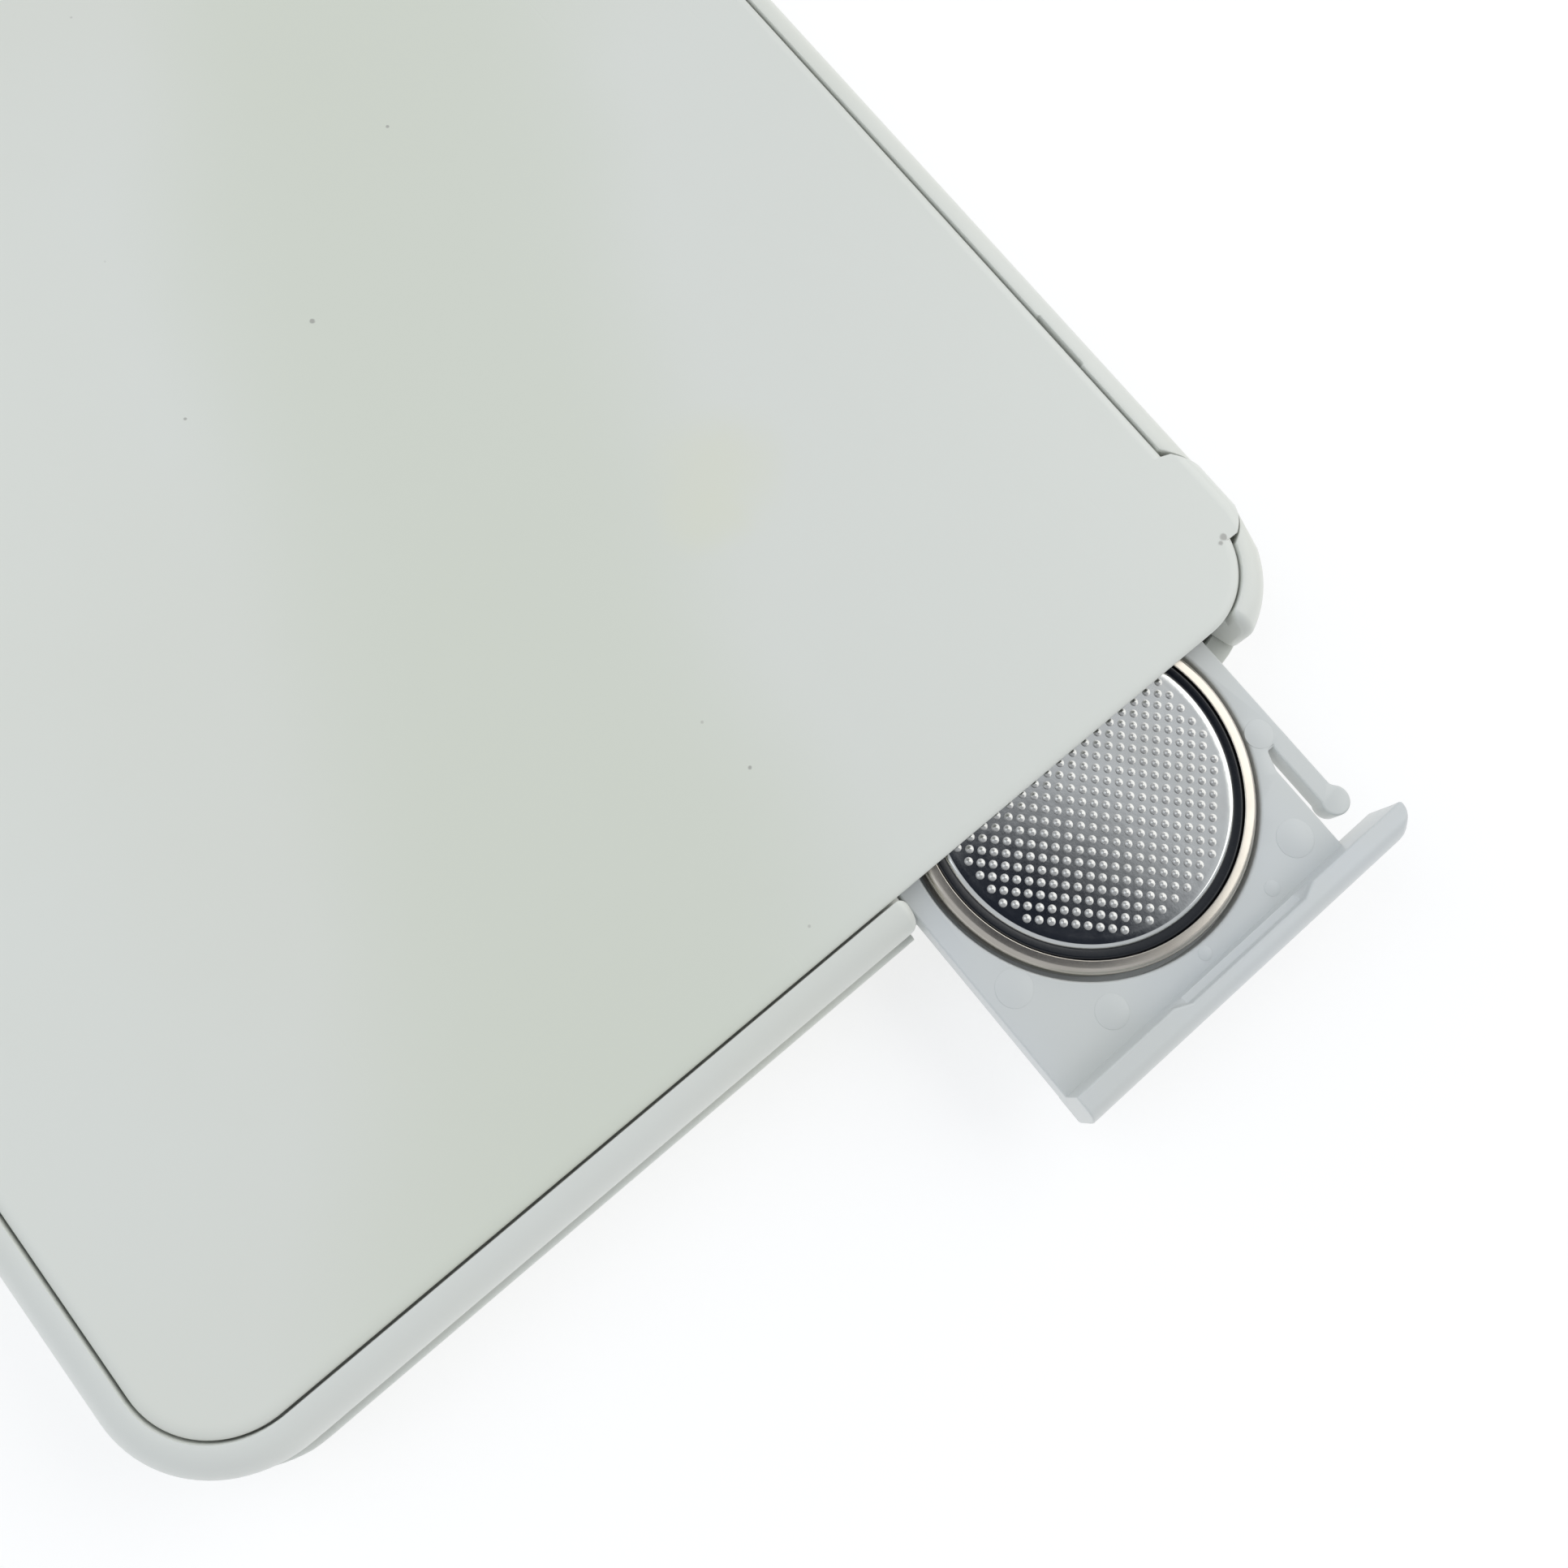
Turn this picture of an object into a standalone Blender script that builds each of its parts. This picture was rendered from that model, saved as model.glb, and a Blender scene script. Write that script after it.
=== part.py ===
"""Compact electronic scale: a flat slab that stands on four weighing feet, with a coin-cell drawer.

Frame: origin at the centre of the base shell's underside, +X to the right, +Y towards the display,
+Z up through the platform. The drawer is drawn out, as it is while its cell is being changed.
"""
import math

import bmesh
import bpy
from mathutils import Matrix, Vector

MM = 0.001

# Slab: the seam is the middle of the gap between the platform panel and the rim round it.
SEAM_W = 71.4 * MM
SEAM_L = 122.4 * MM
SEAM_R = 5.0 * MM
SEAM_GAP = 0.2 * MM
RIM_W = 1.9 * MM
HEIGHT = 6.4 * MM
PANEL_T = 1.2 * MM
FLOOR_T = 1.2 * MM
SPLIT_Z = 3.65 * MM          # parting line between rim and base shell
SPLIT_GAP = 0.2 * MM
LEDGE_W = 1.3 * MM
LEDGE_TOP = 4.9 * MM
CLEAR = 0.15 * MM            # gap left between pieces that rest on each other
CORNER_STEPS = 8

# Tab of the panel that fills a break in the right rim, and the slit beside the rim above it.
TAB_Y = (-51.3 * MM, -53.1 * MM, -56.5 * MM, -58.0 * MM)
SLIT_Y = (-44.4 * MM, -40.6 * MM)

# Skirt of the base shell along the near edge.
SKIRT_OUT = 0.45 * MM
SKIRT_X = (-34.5 * MM, 7.15 * MM)

# Drawer, its mouth in the near edge and the latch finger on its right side.
DRAWER_X = 19.2 * MM
DRAWER_W = 23.2 * MM
DRAWER_OUT = 13.3 * MM       # how far the drawer stands out at rest
PLATE_Z = (2.9 * MM, 4.3 * MM)
PLATE_BACK = 29.5 * MM       # depth of the drawer behind its flange
FLANGE_T = 1.75 * MM
FLANGE_R = 1.5 * MM          # radius of the flange's upper outer edge
FLANGE_X = (7.6 * MM, 32.3 * MM)
MOUTH_X = (7.35 * MM, 32.75 * MM)
SILL_Z = 2.6 * MM
FINGER_W = 1.15 * MM
SLOT_W = 0.75 * MM
FINGER_L = 4.3 * MM
BULB_R = 0.87 * MM

# Coin cell, 20 mm across and 1.6 mm thick.
CELL_R = 10.0 * MM
CELL_T = 1.6 * MM
CELL_LIP = 0.3 * MM          # thickness of the lip that the cell lies on
CELL_FROM_FLANGE = 11.5 * MM
POCKET_R = 10.3 * MM
GASKET_R = 9.38 * MM
CAP_R = 8.55 * MM

# Feet and load cells.
FOOT_X = 25.0 * MM
FOOT_Y = 45.0 * MM
FOOT_R = 7.0 * MM
FOOT_RECESS = 0.45 * MM      # depth of the round recess in the floor round each foot
STEM_R = 3.1 * MM            # stem that passes the floor up to the load cell
PLAY = 0.3 * MM              # radial room round a foot, a stem and the button
PAD_R = 6.0 * MM
PAD_TOP = -0.5 * MM
STANCE = 1.3 * MM            # height of the underside above the surface
LOADCELL = 20.0 * MM
LOADCELL_Z = (1.5 * MM, 2.3 * MM)

# Display and electronics.
DISPLAY_Y = 42.0 * MM
WINDOW = (38.0 * MM, 18.0 * MM, 0.8 * MM)
LCD = (34.0 * MM, 18.0 * MM)
BOARD_X = 14.0 * MM
BOARD_Y = (12.0 * MM, 54.0 * MM)
BOARD_Z = (2.2 * MM, 3.0 * MM)
BUTTON_Y = 26.0 * MM
BUTTON_R = 2.5 * MM
BUTTON_DISH_R = 4.5 * MM
SCREWS = [(x * MM, y * MM) for x, y in ((33.2, 12.0), (-33.2, 12.0), (33.2, -22.0), (-33.2, -22.0),
                                        (0.0, 58.4), (-14.0, -58.4))]
SCREW_R = 0.8 * MM
SCREW_HEAD_R = 1.6 * MM
BOSS_R = 2.4 * MM
LEAD_D = 0.9 * MM
BATTERY_LEAD_D = 0.8 * MM

NEAR = -SEAM_L / 2                                  # the near seam
NEAR_OUT = NEAR - RIM_W                             # the rim's near face
FLANGE_IN = NEAR_OUT - DRAWER_OUT + FLANGE_T        # the flange's inner face at rest
CELL_Y = FLANGE_IN + CELL_FROM_FLANGE
CELL_Y_SHUT = CELL_Y + DRAWER_OUT
PLATE_END = FLANGE_IN + PLATE_BACK
DRAWER_LEFT = DRAWER_X - DRAWER_W / 2
DRAWER_RIGHT = DRAWER_X + DRAWER_W / 2
FINGER_ROOT = FLANGE_IN + 6.3 * MM
HEAD_Z = 0.85 * MM

# Parts whose faces carry several holes; the exact solver leaves open edges round those holes.
MANY_HOLES = ("base_shell", "casing_rim", "battery_drawer")

COLOURS = {
    "white": ((0.80, 0.82, 0.80), 0.35, 0.0),
    "drawer_white": ((0.76, 0.78, 0.77), 0.4, 0.0),
    "steel": ((0.62, 0.62, 0.60), 0.25, 1.0),
    "bronze": ((0.72, 0.52, 0.30), 0.3, 1.0),
    "black": ((0.02, 0.02, 0.03), 0.5, 0.0),
    "rubber": ((0.10, 0.10, 0.11), 0.8, 0.0),
    "glass": ((0.62, 0.68, 0.60), 0.1, 0.0),
    "smoked": ((0.12, 0.13, 0.14), 0.08, 0.0),
    "board": ((0.05, 0.25, 0.12), 0.5, 0.0),
    "gauge": ((0.85, 0.60, 0.20), 0.5, 0.0),
    "tape": ((0.20, 0.20, 0.20), 0.9, 0.0),
    "red": ((0.60, 0.05, 0.04), 0.5, 0.0),
}


# ---------------------------------------------------------------- building blocks

def clear_scene():
    for obj in list(bpy.data.objects):
        bpy.data.objects.remove(obj, do_unlink=True)


def material(key):
    """Return the Principled material of that key, made on first use."""
    if key in bpy.data.materials:
        return bpy.data.materials[key]
    colour, roughness, metallic = COLOURS[key]
    made = bpy.data.materials.new(key)
    made.use_nodes = True
    shader = made.node_tree.nodes["Principled BSDF"]
    shader.inputs["Base Color"].default_value = (*colour, 1.0)
    shader.inputs["Roughness"].default_value = roughness
    shader.inputs["Metallic"].default_value = metallic
    return made


def add_object(name, mesh, key=None, smooth=False):
    """Link a mesh as a named part; without a key it is a hidden cutter or tool."""
    obj = bpy.data.objects.new(name, mesh)
    bpy.context.scene.collection.objects.link(obj)
    if key is None:
        obj.hide_render = True
        obj.display_type = "WIRE"
        return obj
    mesh.materials.append(material(key))
    if smooth:
        mesh.shade_smooth()
        mesh.set_sharp_from_angle(angle=math.radians(35))
    return obj


def loft(rings):
    """Skin rings of equal point count and cap both ends; return the mesh."""
    mesh = bpy.data.meshes.new("loft")
    bm = bmesh.new()
    rows = [[bm.verts.new(p) for p in ring] for ring in rings]
    count = len(rows[0])
    for low, high in zip(rows, rows[1:]):
        for i in range(count):
            j = (i + 1) % count
            bm.faces.new((low[i], low[j], high[j], high[i]))
    bm.faces.new(list(reversed(rows[0])))
    bm.faces.new(rows[-1])
    bmesh.ops.recalc_face_normals(bm, faces=bm.faces)
    bm.to_mesh(mesh)
    bm.free()
    return mesh


def prism(outline, z0, z1):
    """Extrude an anticlockwise XY outline from z0 to z1."""
    return loft([[(x, y, z0) for x, y in outline], [(x, y, z1) for x, y in outline]])


def prism_x(outline, x0, x1):
    """Extrude a YZ outline from x0 to x1."""
    return loft([[(x0, y, z) for y, z in outline], [(x1, y, z) for y, z in outline]])


def box(x, y, z):
    """A box from three (low, high) pairs."""
    return prism([(x[0], y[0]), (x[1], y[0]), (x[1], y[1]), (x[0], y[1])], *z)


def boxes(spans):
    """Several separate boxes in one mesh, for a single union or cut."""
    bm = bmesh.new()
    for x, y, z in spans:
        part = box(x, y, z)
        bm.from_mesh(part)
        bpy.data.meshes.remove(part)
    mesh = bpy.data.meshes.new("boxes")
    bm.to_mesh(mesh)
    bm.free()
    return mesh


def turned(profile, centre, steps=40):
    """Spin an (r, z) profile, whose ends lie on the axis or which closes on itself, about +Z."""
    mesh = bpy.data.meshes.new("turned")
    bm = bmesh.new()
    closed = profile[0][0] > 0
    columns = []
    for r, z in profile:
        if r == 0:
            columns.append([bm.verts.new((centre[0], centre[1], z))] * steps)
            continue
        angles = [2 * math.pi * k / steps for k in range(steps)]
        columns.append([bm.verts.new((centre[0] + r * math.cos(a), centre[1] + r * math.sin(a), z))
                        for a in angles])
    pairs = list(zip(columns, columns[1:]))
    if closed:
        pairs.append((columns[-1], columns[0]))
    for low, high in pairs:
        for i in range(steps):
            j = (i + 1) % steps
            corners = list(dict.fromkeys((low[i], low[j], high[j], high[i])))
            bm.faces.new(corners)
    bmesh.ops.recalc_face_normals(bm, faces=bm.faces)
    bm.to_mesh(mesh)
    bm.free()
    return mesh


def disc(r, centre, z0, z1, steps=24):
    return turned([(0, z0), (r, z0), (r, z1), (0, z1)], centre, steps)


def rounded_rect(width, length, radius, centre=(0.0, 0.0), steps=CORNER_STEPS):
    """Anticlockwise outline of a rectangle with round corners."""
    points = []
    hx = width / 2 - radius
    hy = length / 2 - radius
    for sx, sy, start in ((1, 1, 0), (-1, 1, 90), (-1, -1, 180), (1, -1, 270)):
        for k in range(steps + 1):
            a = math.radians(start + 90 * k / steps)
            points.append((centre[0] + sx * hx + radius * math.cos(a),
                           centre[1] + sy * hy + radius * math.sin(a)))
    return points


def slab_outline(inset):
    """The slab's outline, inset from the rim's outer face; a negative inset grows it."""
    return rounded_rect(SEAM_W + 2 * (RIM_W - inset), SEAM_L + 2 * (RIM_W - inset),
                        SEAM_R + RIM_W - inset)


def slab(profile):
    """Loft the slab's outline through (inset, z) pairs."""
    return loft([[(x, y, z) for x, y in slab_outline(inset)] for inset, z in profile])


def boolean(target, tool_mesh, operation):
    """Add a Boolean with a hidden tool object, which follows its target."""
    tool = add_object(f"tool_{target.name}_{len(target.modifiers)}", tool_mesh)
    tool.parent = target
    step = target.modifiers.new(operation.lower(), "BOOLEAN")
    step.operation = operation
    step.solver = "MANIFOLD" if target.name in MANY_HOLES else "EXACT"
    step.object = tool
    return tool


def cut(target, tool_mesh):
    return boolean(target, tool_mesh, "DIFFERENCE")


def fuse(target, tool_mesh):
    return boolean(target, tool_mesh, "UNION")


def hang_on_joint(name, axis_point, pieces):
    """Parent pieces to an empty on their joint's axis; the first piece gets its origin there too."""
    axis = bpy.data.objects.new(name, None)
    bpy.context.scene.collection.objects.link(axis)
    axis.location = axis_point
    shift = Matrix.Translation(-Vector(axis_point))
    mover = pieces[0]
    mover.data.transform(shift)
    for tool in mover.children:
        tool.data.transform(shift)
    mover.parent = axis
    for piece in pieces[1:]:
        piece.parent = axis
        piece.location = -Vector(axis_point)
    return axis


def strip(path, thickness, x):
    """A sheet-metal strip of one thickness along a YZ path, as wide as the x pair."""
    upper, lower = [], []
    for i, here in enumerate(path):
        before = Vector(path[max(i - 1, 0)])
        after = Vector(path[min(i + 1, len(path) - 1)])
        along = (after - before).normalized()
        side = Vector((-along.y, along.x)) * thickness / 2
        upper.append(tuple(Vector(here) + side))
        lower.append(tuple(Vector(here) - side))
    return prism_x(upper + lower[::-1], *x)


def smooth_route(knots, per_span=5):
    """Points on a Catmull-Rom curve through the knots."""
    pts = [Vector(k) for k in knots]
    pts = [2 * pts[0] - pts[1]] + pts + [2 * pts[-1] - pts[-2]]
    route = []
    for a, b, c, d in zip(pts, pts[1:], pts[2:], pts[3:]):
        for k in range(per_span):
            t = k / per_span
            route.append(0.5 * (2 * b + (c - a) * t + (2 * a - 5 * b + 4 * c - d) * t ** 2
                                + (3 * b - a - 3 * c + d) * t ** 3))
    return route + [pts[-2]]


def wire(name, knots, diameter, key):
    """An insulated lead along a smooth route, given in millimetres."""
    curve = bpy.data.curves.new(name, "CURVE")
    curve.dimensions = "3D"
    curve.bevel_depth = diameter / 2
    curve.bevel_resolution = 2
    curve.use_fill_caps = True
    route = smooth_route([[c * MM for c in knot] for knot in knots])
    spline = curve.splines.new("POLY")
    spline.points.add(len(route) - 1)
    for point, at in zip(spline.points, route):
        point.co = (*at, 1.0)
    obj = bpy.data.objects.new(name, curve)
    curve.materials.append(material(key))
    bpy.context.scene.collection.objects.link(obj)
    return obj


# ---------------------------------------------------------------- casing

def rim_profile(bottom):
    """(inset, z) of the rim's outer skin: a flat flank under a quarter-round shoulder."""
    width = RIM_W - SEAM_GAP / 2
    shoulder = HEIGHT - 0.05 * MM - width
    steps = 5
    turns = [math.pi / 2 * k / steps for k in range(steps + 1)]
    return [(0.0, bottom)] + [(width * (1 - math.cos(a)), shoulder + width * math.sin(a)) for a in turns]


def tab_outline(margin):
    """Plan of the panel's tab: wide at the seam and narrow at the outer face."""
    inner = SEAM_W / 2 - 0.8 * MM
    seam = SEAM_W / 2
    outer = SEAM_W / 2 + RIM_W + 1.0 * MM
    high_in, high_out, low_out, low_in = TAB_Y
    return [(inner, low_in - margin), (seam, low_in - margin), (seam + 1.4 * MM, low_out - margin),
            (outer, low_out - margin), (outer, high_out + margin), (seam + 1.4 * MM, high_out + margin),
            (seam, high_in + margin), (inner, high_in + margin)]


def make_top_panel():
    edge = RIM_W + SEAM_GAP / 2
    low = HEIGHT - PANEL_T
    panel = add_object("top_panel", slab([(edge, low), (edge, HEIGHT - 0.25 * MM),
                                          (edge + 0.08 * MM, HEIGHT - 0.07 * MM),
                                          (edge + 0.25 * MM, HEIGHT)]), "white")
    tab = fuse(panel, slab(rim_profile(LEDGE_TOP - 0.15 * MM)))
    boolean(tab, prism(tab_outline(0.0), LEDGE_TOP, HEIGHT + MM), "INTERSECT")
    centre = (0.0, DISPLAY_Y)
    width, length, thick = WINDOW
    cut(panel, prism(rounded_rect(width + 0.3 * MM, length + 0.3 * MM, 1.5 * MM, centre, 4),
                     HEIGHT - thick - CLEAR, HEIGHT + MM))
    cut(panel, prism(rounded_rect(width - 4 * MM, length - 4 * MM, 1.0 * MM, centre, 4), 0.0, HEIGHT))
    cut(panel, box((DRAWER_X - 2 * MM, DRAWER_X + 2 * MM), (-53 * MM, -26.5 * MM),
                   (low - MM, low + 0.45 * MM)))
    return panel


def make_casing_rim():
    rim = add_object("casing_rim", slab(rim_profile(SPLIT_Z + SPLIT_GAP / 2)), "white")
    inner = RIM_W - SEAM_GAP / 2
    cut(rim, slab([(inner, LEDGE_TOP), (inner, HEIGHT + MM)]))
    cut(rim, slab([(inner + LEDGE_W, 0.0), (inner + LEDGE_W, HEIGHT)]))
    fuse(rim, boss_posts(BOSS_R, 2.65 * MM, LEDGE_TOP - 0.05 * MM))
    cut(rim, boss_posts(SCREW_R + CLEAR, 0.0, LEDGE_TOP - 0.3 * MM))
    cut(rim, box(MOUTH_X, (NEAR_OUT - MM, NEAR + 3 * MM), (0.0, HEIGHT + MM)))
    cut(rim, prism(tab_outline(0.2 * MM), LEDGE_TOP - 0.15 * MM, HEIGHT + MM))
    cut(rim, box((SEAM_W / 2, SEAM_W / 2 + 0.35 * MM), SLIT_Y, (LEDGE_TOP + 0.4 * MM, HEIGHT + MM)))
    return rim


def turned_at(profile, centres, steps):
    """The same turned shape at every centre, all in one mesh."""
    bm = bmesh.new()
    for centre in centres:
        post = turned(profile, centre, steps)
        bm.from_mesh(post)
        bpy.data.meshes.remove(post)
    mesh = bpy.data.meshes.new("posts")
    bm.to_mesh(mesh)
    bm.free()
    return mesh


def boss_posts(radius, z0, z1):
    """A round post at each screw."""
    return turned_at([(0, z0), (radius, z0), (radius, z1), (0, z1)], SCREWS, 16)


def stepped_bores(centres, wide, step_z, narrow, steps):
    """Cutters for holes that enter from below with one radius and go on with a narrower one."""
    profile = [(0, -MM), (wide, -MM), (wide, step_z), (narrow, step_z), (narrow, HEIGHT), (0, HEIGHT)]
    return turned_at(profile, centres, steps)


def make_base_shell():
    top = SPLIT_Z - SPLIT_GAP / 2
    flank = 0.1 * MM
    base = add_object("base_shell", slab([(1.2 * MM, 0.0), (0.45 * MM, 0.25 * MM),
                                          (flank, 0.9 * MM), (flank, top)]), "white")
    skirt = fuse(base, slab([(-0.1 * MM, 0.45 * MM), (-SKIRT_OUT, 0.9 * MM),
                             (-SKIRT_OUT, top - 0.3 * MM), (-SKIRT_OUT + 0.2 * MM, top - 0.02 * MM)]))
    boolean(skirt, box(SKIRT_X, (NEAR_OUT - 2 * MM, NEAR + 2 * MM), (0.0, HEIGHT)), "INTERSECT")
    cut(base, slab([(1.6 * MM, FLOOR_T), (1.6 * MM, HEIGHT)]))
    cut(base, box((MOUTH_X[0] - 0.3 * MM, MOUTH_X[1] + 0.3 * MM),
                  (NEAR_OUT - MM, NEAR + 1.5 * MM), (SILL_Z, HEIGHT)))
    fuse(base, boxes(base_inner_walls()))
    fuse(base, boss_posts(BOSS_R, FLOOR_T - 0.2 * MM, 2.5 * MM))
    cut(base, stepped_bores(SCREWS, SCREW_HEAD_R + 0.2 * MM, HEAD_Z, SCREW_R + CLEAR, 16))
    cut(base, stepped_bores(foot_centres(), FOOT_R + PLAY, FOOT_RECESS, STEM_R + PLAY, 28))
    cut(base, stepped_bores([(0.0, BUTTON_Y)], BUTTON_DISH_R, 0.3 * MM, BUTTON_R + PLAY, 28))
    return base


def base_inner_walls():
    """Drawer guides, load-cell seats and board posts, as box spans that rise from the floor."""
    floor = FLOOR_T - 0.2 * MM
    start = NEAR + 1.4 * MM
    walls = [((DRAWER_LEFT - 1.3 * MM, DRAWER_LEFT - 0.3 * MM), (start, -31 * MM), (floor, 4.5 * MM)),
             ((31.7 * MM, 32.7 * MM), (start, -56 * MM), (floor, 4.5 * MM)),
             ((31.7 * MM, 32.7 * MM), (-34 * MM, -31 * MM), (floor, 4.5 * MM))]
    for x, y in foot_centres():
        for side in (-8.6 * MM, 8.6 * MM):
            walls.append(((x + side - 0.6 * MM, x + side + 0.6 * MM), (y - 8 * MM, y + 8 * MM),
                          (floor, LOADCELL_Z[0] - CLEAR)))
    for x in (-12 * MM, 12 * MM):
        for y in (BOARD_Y[0] + 2 * MM, BOARD_Y[1] - 2 * MM):
            walls.append(((x - MM, x + MM), (y - MM, y + MM), (floor, BOARD_Z[0] - CLEAR)))
    return walls


def make_panel_tape():
    """Double-sided tape on the rim's ledge, open from the drawer's mouth round to the tab."""
    z = (LEDGE_TOP + 0.07 * MM, HEIGHT - PANEL_T - 0.07 * MM)
    outer = RIM_W + 0.3 * MM
    inner = outer + 0.8 * MM
    tape = add_object("panel_tape", slab([(outer, z[0]), (outer, z[1])]), "tape")
    cut(tape, slab([(inner, 0.0), (inner, HEIGHT)]))
    cut(tape, box((MOUTH_X[0], SEAM_W), (NEAR_OUT, TAB_Y[0] + 0.3 * MM), (0.0, HEIGHT)))
    return tape


def make_screws():
    for number, centre in enumerate(SCREWS, 1):
        profile = [(0, 0.1 * MM), (SCREW_HEAD_R - 0.1 * MM, 0.1 * MM), (SCREW_HEAD_R, 0.25 * MM),
                   (SCREW_HEAD_R, HEAD_Z - 0.1 * MM), (SCREW_R, HEAD_Z - 0.1 * MM),
                   (SCREW_R, 4.0 * MM), (0, 4.4 * MM)]
        add_object(f"case_screw_{number}", turned(profile, centre, 12), "steel", True)


# ---------------------------------------------------------------- weighing feet

def foot_centres():
    return [(x, y) for y in (-FOOT_Y, FOOT_Y) for x in (-FOOT_X, FOOT_X)]


def make_feet():
    low = -STANCE + 0.45 * MM
    for number, centre in enumerate(foot_centres(), 1):
        profile = [(0, PAD_TOP), (PAD_R + CLEAR, PAD_TOP), (PAD_R + CLEAR, low),
                   (FOOT_R - 0.3 * MM, low), (FOOT_R, low + 0.3 * MM), (FOOT_R, 0.1 * MM),
                   (FOOT_R - 0.2 * MM, 0.3 * MM), (STEM_R, 0.3 * MM),
                   (STEM_R, LOADCELL_Z[0] - CLEAR), (0, LOADCELL_Z[0] - CLEAR)]
        foot = add_object(f"foot_{number}", turned(profile, centre, 28), "white", True)
        pad = [(0, -STANCE), (PAD_R - 0.2 * MM, -STANCE), (PAD_R, -STANCE + 0.2 * MM),
               (PAD_R, PAD_TOP - CLEAR), (0, PAD_TOP - CLEAR)]
        rubber = add_object(f"foot_pad_{number}", turned(pad, centre, 28), "rubber", True)
        rubber.parent = foot


def make_load_cells():
    half = LOADCELL / 2
    for number, (x, y) in enumerate(foot_centres(), 1):
        plate = add_object(f"load_cell_{number}", box((x - half, x + half), (y - half, y + half),
                                                      LOADCELL_Z), "steel")
        cut(plate, prism(tongue_slot(x, y, 1.0 if y > 0 else -1.0), 0.0, HEIGHT))
        gauge_y = y + (5.0 * MM if y > 0 else -5.0 * MM)
        add_object(f"strain_gauge_{number}",
                   box((x - 2.5 * MM, x + 2.5 * MM), (gauge_y - 2 * MM, gauge_y + 2 * MM),
                       (LOADCELL_Z[1] + 0.05 * MM, LOADCELL_Z[1] + 0.3 * MM)), "gauge")


def tongue_slot(x, y, way):
    """Outline of the U-shaped slot that leaves the load cell's tongue, open towards way."""
    out, inn, far, near = 6.5 * MM, 5.2 * MM, -7.0 * MM, -5.7 * MM
    tip = 7.0 * MM
    shape = [(-out, far), (out, far), (out, tip), (inn, tip), (inn, near), (-inn, near),
             (-inn, tip), (-out, tip)]
    points = [(x + px, y + way * py) for px, py in shape]
    return points if way > 0 else points[::-1]


# ---------------------------------------------------------------- drawer and cell

def make_battery_drawer():
    slot_left = DRAWER_RIGHT - FINGER_W - SLOT_W
    root = FINGER_ROOT + CLEAR
    plate = [(DRAWER_LEFT, FLANGE_IN - 0.3 * MM), (slot_left, FLANGE_IN - 0.3 * MM),
             (slot_left, root - 1.0 * MM), (slot_left + 0.12 * MM, root - 0.3 * MM),
             (slot_left + 0.4 * MM, root), (DRAWER_RIGHT, root), (DRAWER_RIGHT, PLATE_END),
             (DRAWER_LEFT, PLATE_END)]
    drawer = add_object("battery_drawer", prism(plate, *PLATE_Z), "drawer_white")
    fuse(drawer, make_flange())
    cut(drawer, disc(POCKET_R, (DRAWER_X, CELL_Y), PLATE_Z[0] + CELL_LIP, HEIGHT, 48))
    cut(drawer, disc(8.6 * MM, (DRAWER_X, CELL_Y), 0.0, HEIGHT, 40))
    cut(drawer, box((DRAWER_X - 8 * MM, DRAWER_X + 8 * MM), (PLATE_END - 5.5 * MM, PLATE_END - 1.8 * MM),
                    (0.0, HEIGHT)))
    scoop = [(14.6 * MM, FLANGE_IN + MM), (14.6 * MM, FLANGE_IN), (15.4 * MM, FLANGE_IN - 0.45 * MM),
             (24.2 * MM, FLANGE_IN - 0.45 * MM), (25.0 * MM, FLANGE_IN), (25.0 * MM, FLANGE_IN + MM)]
    cut(drawer, prism(scoop, HEIGHT - 0.9 * MM, HEIGHT + MM))
    return drawer


def make_flange():
    """The drawer's front: the rim's rounded section carried across the mouth, round at its right end."""
    top = HEIGHT - 0.1 * MM
    section = [(0.0, PLATE_Z[0])]
    for k in range(6):
        a = math.pi / 2 * k / 5
        section.append((FLANGE_R * (1 - math.cos(a)), top - FLANGE_R + FLANGE_R * math.sin(a)))
    return loft([[(x, y, z) for x, y in flange_plan(inset)] for inset, z in section])


def flange_plan(inset):
    """Plan of the flange at one height; its right end is cut back in three facets."""
    left, right = FLANGE_X
    outer = FLANGE_IN - FLANGE_T + inset
    depth = FLANGE_R - inset
    return [(left + 0.15 * MM, FLANGE_IN), (left, outer), (right - 1.1 * MM, outer),
            (right - 0.4 * MM, outer + 0.3 * depth), (right, outer + 0.7 * depth),
            (right - 0.1 * MM, FLANGE_IN - 0.05 * MM), (right - 0.5 * MM, FLANGE_IN)]


def make_latch_finger():
    bar = box((DRAWER_RIGHT - FINGER_W, DRAWER_RIGHT), (FINGER_ROOT - FINGER_L, FINGER_ROOT), PLATE_Z)
    finger = add_object("latch_finger", bar, "drawer_white")
    fuse(finger, disc(BULB_R, (DRAWER_RIGHT - 0.4 * MM, FINGER_ROOT - FINGER_L), *PLATE_Z, 24))
    return finger


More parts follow.
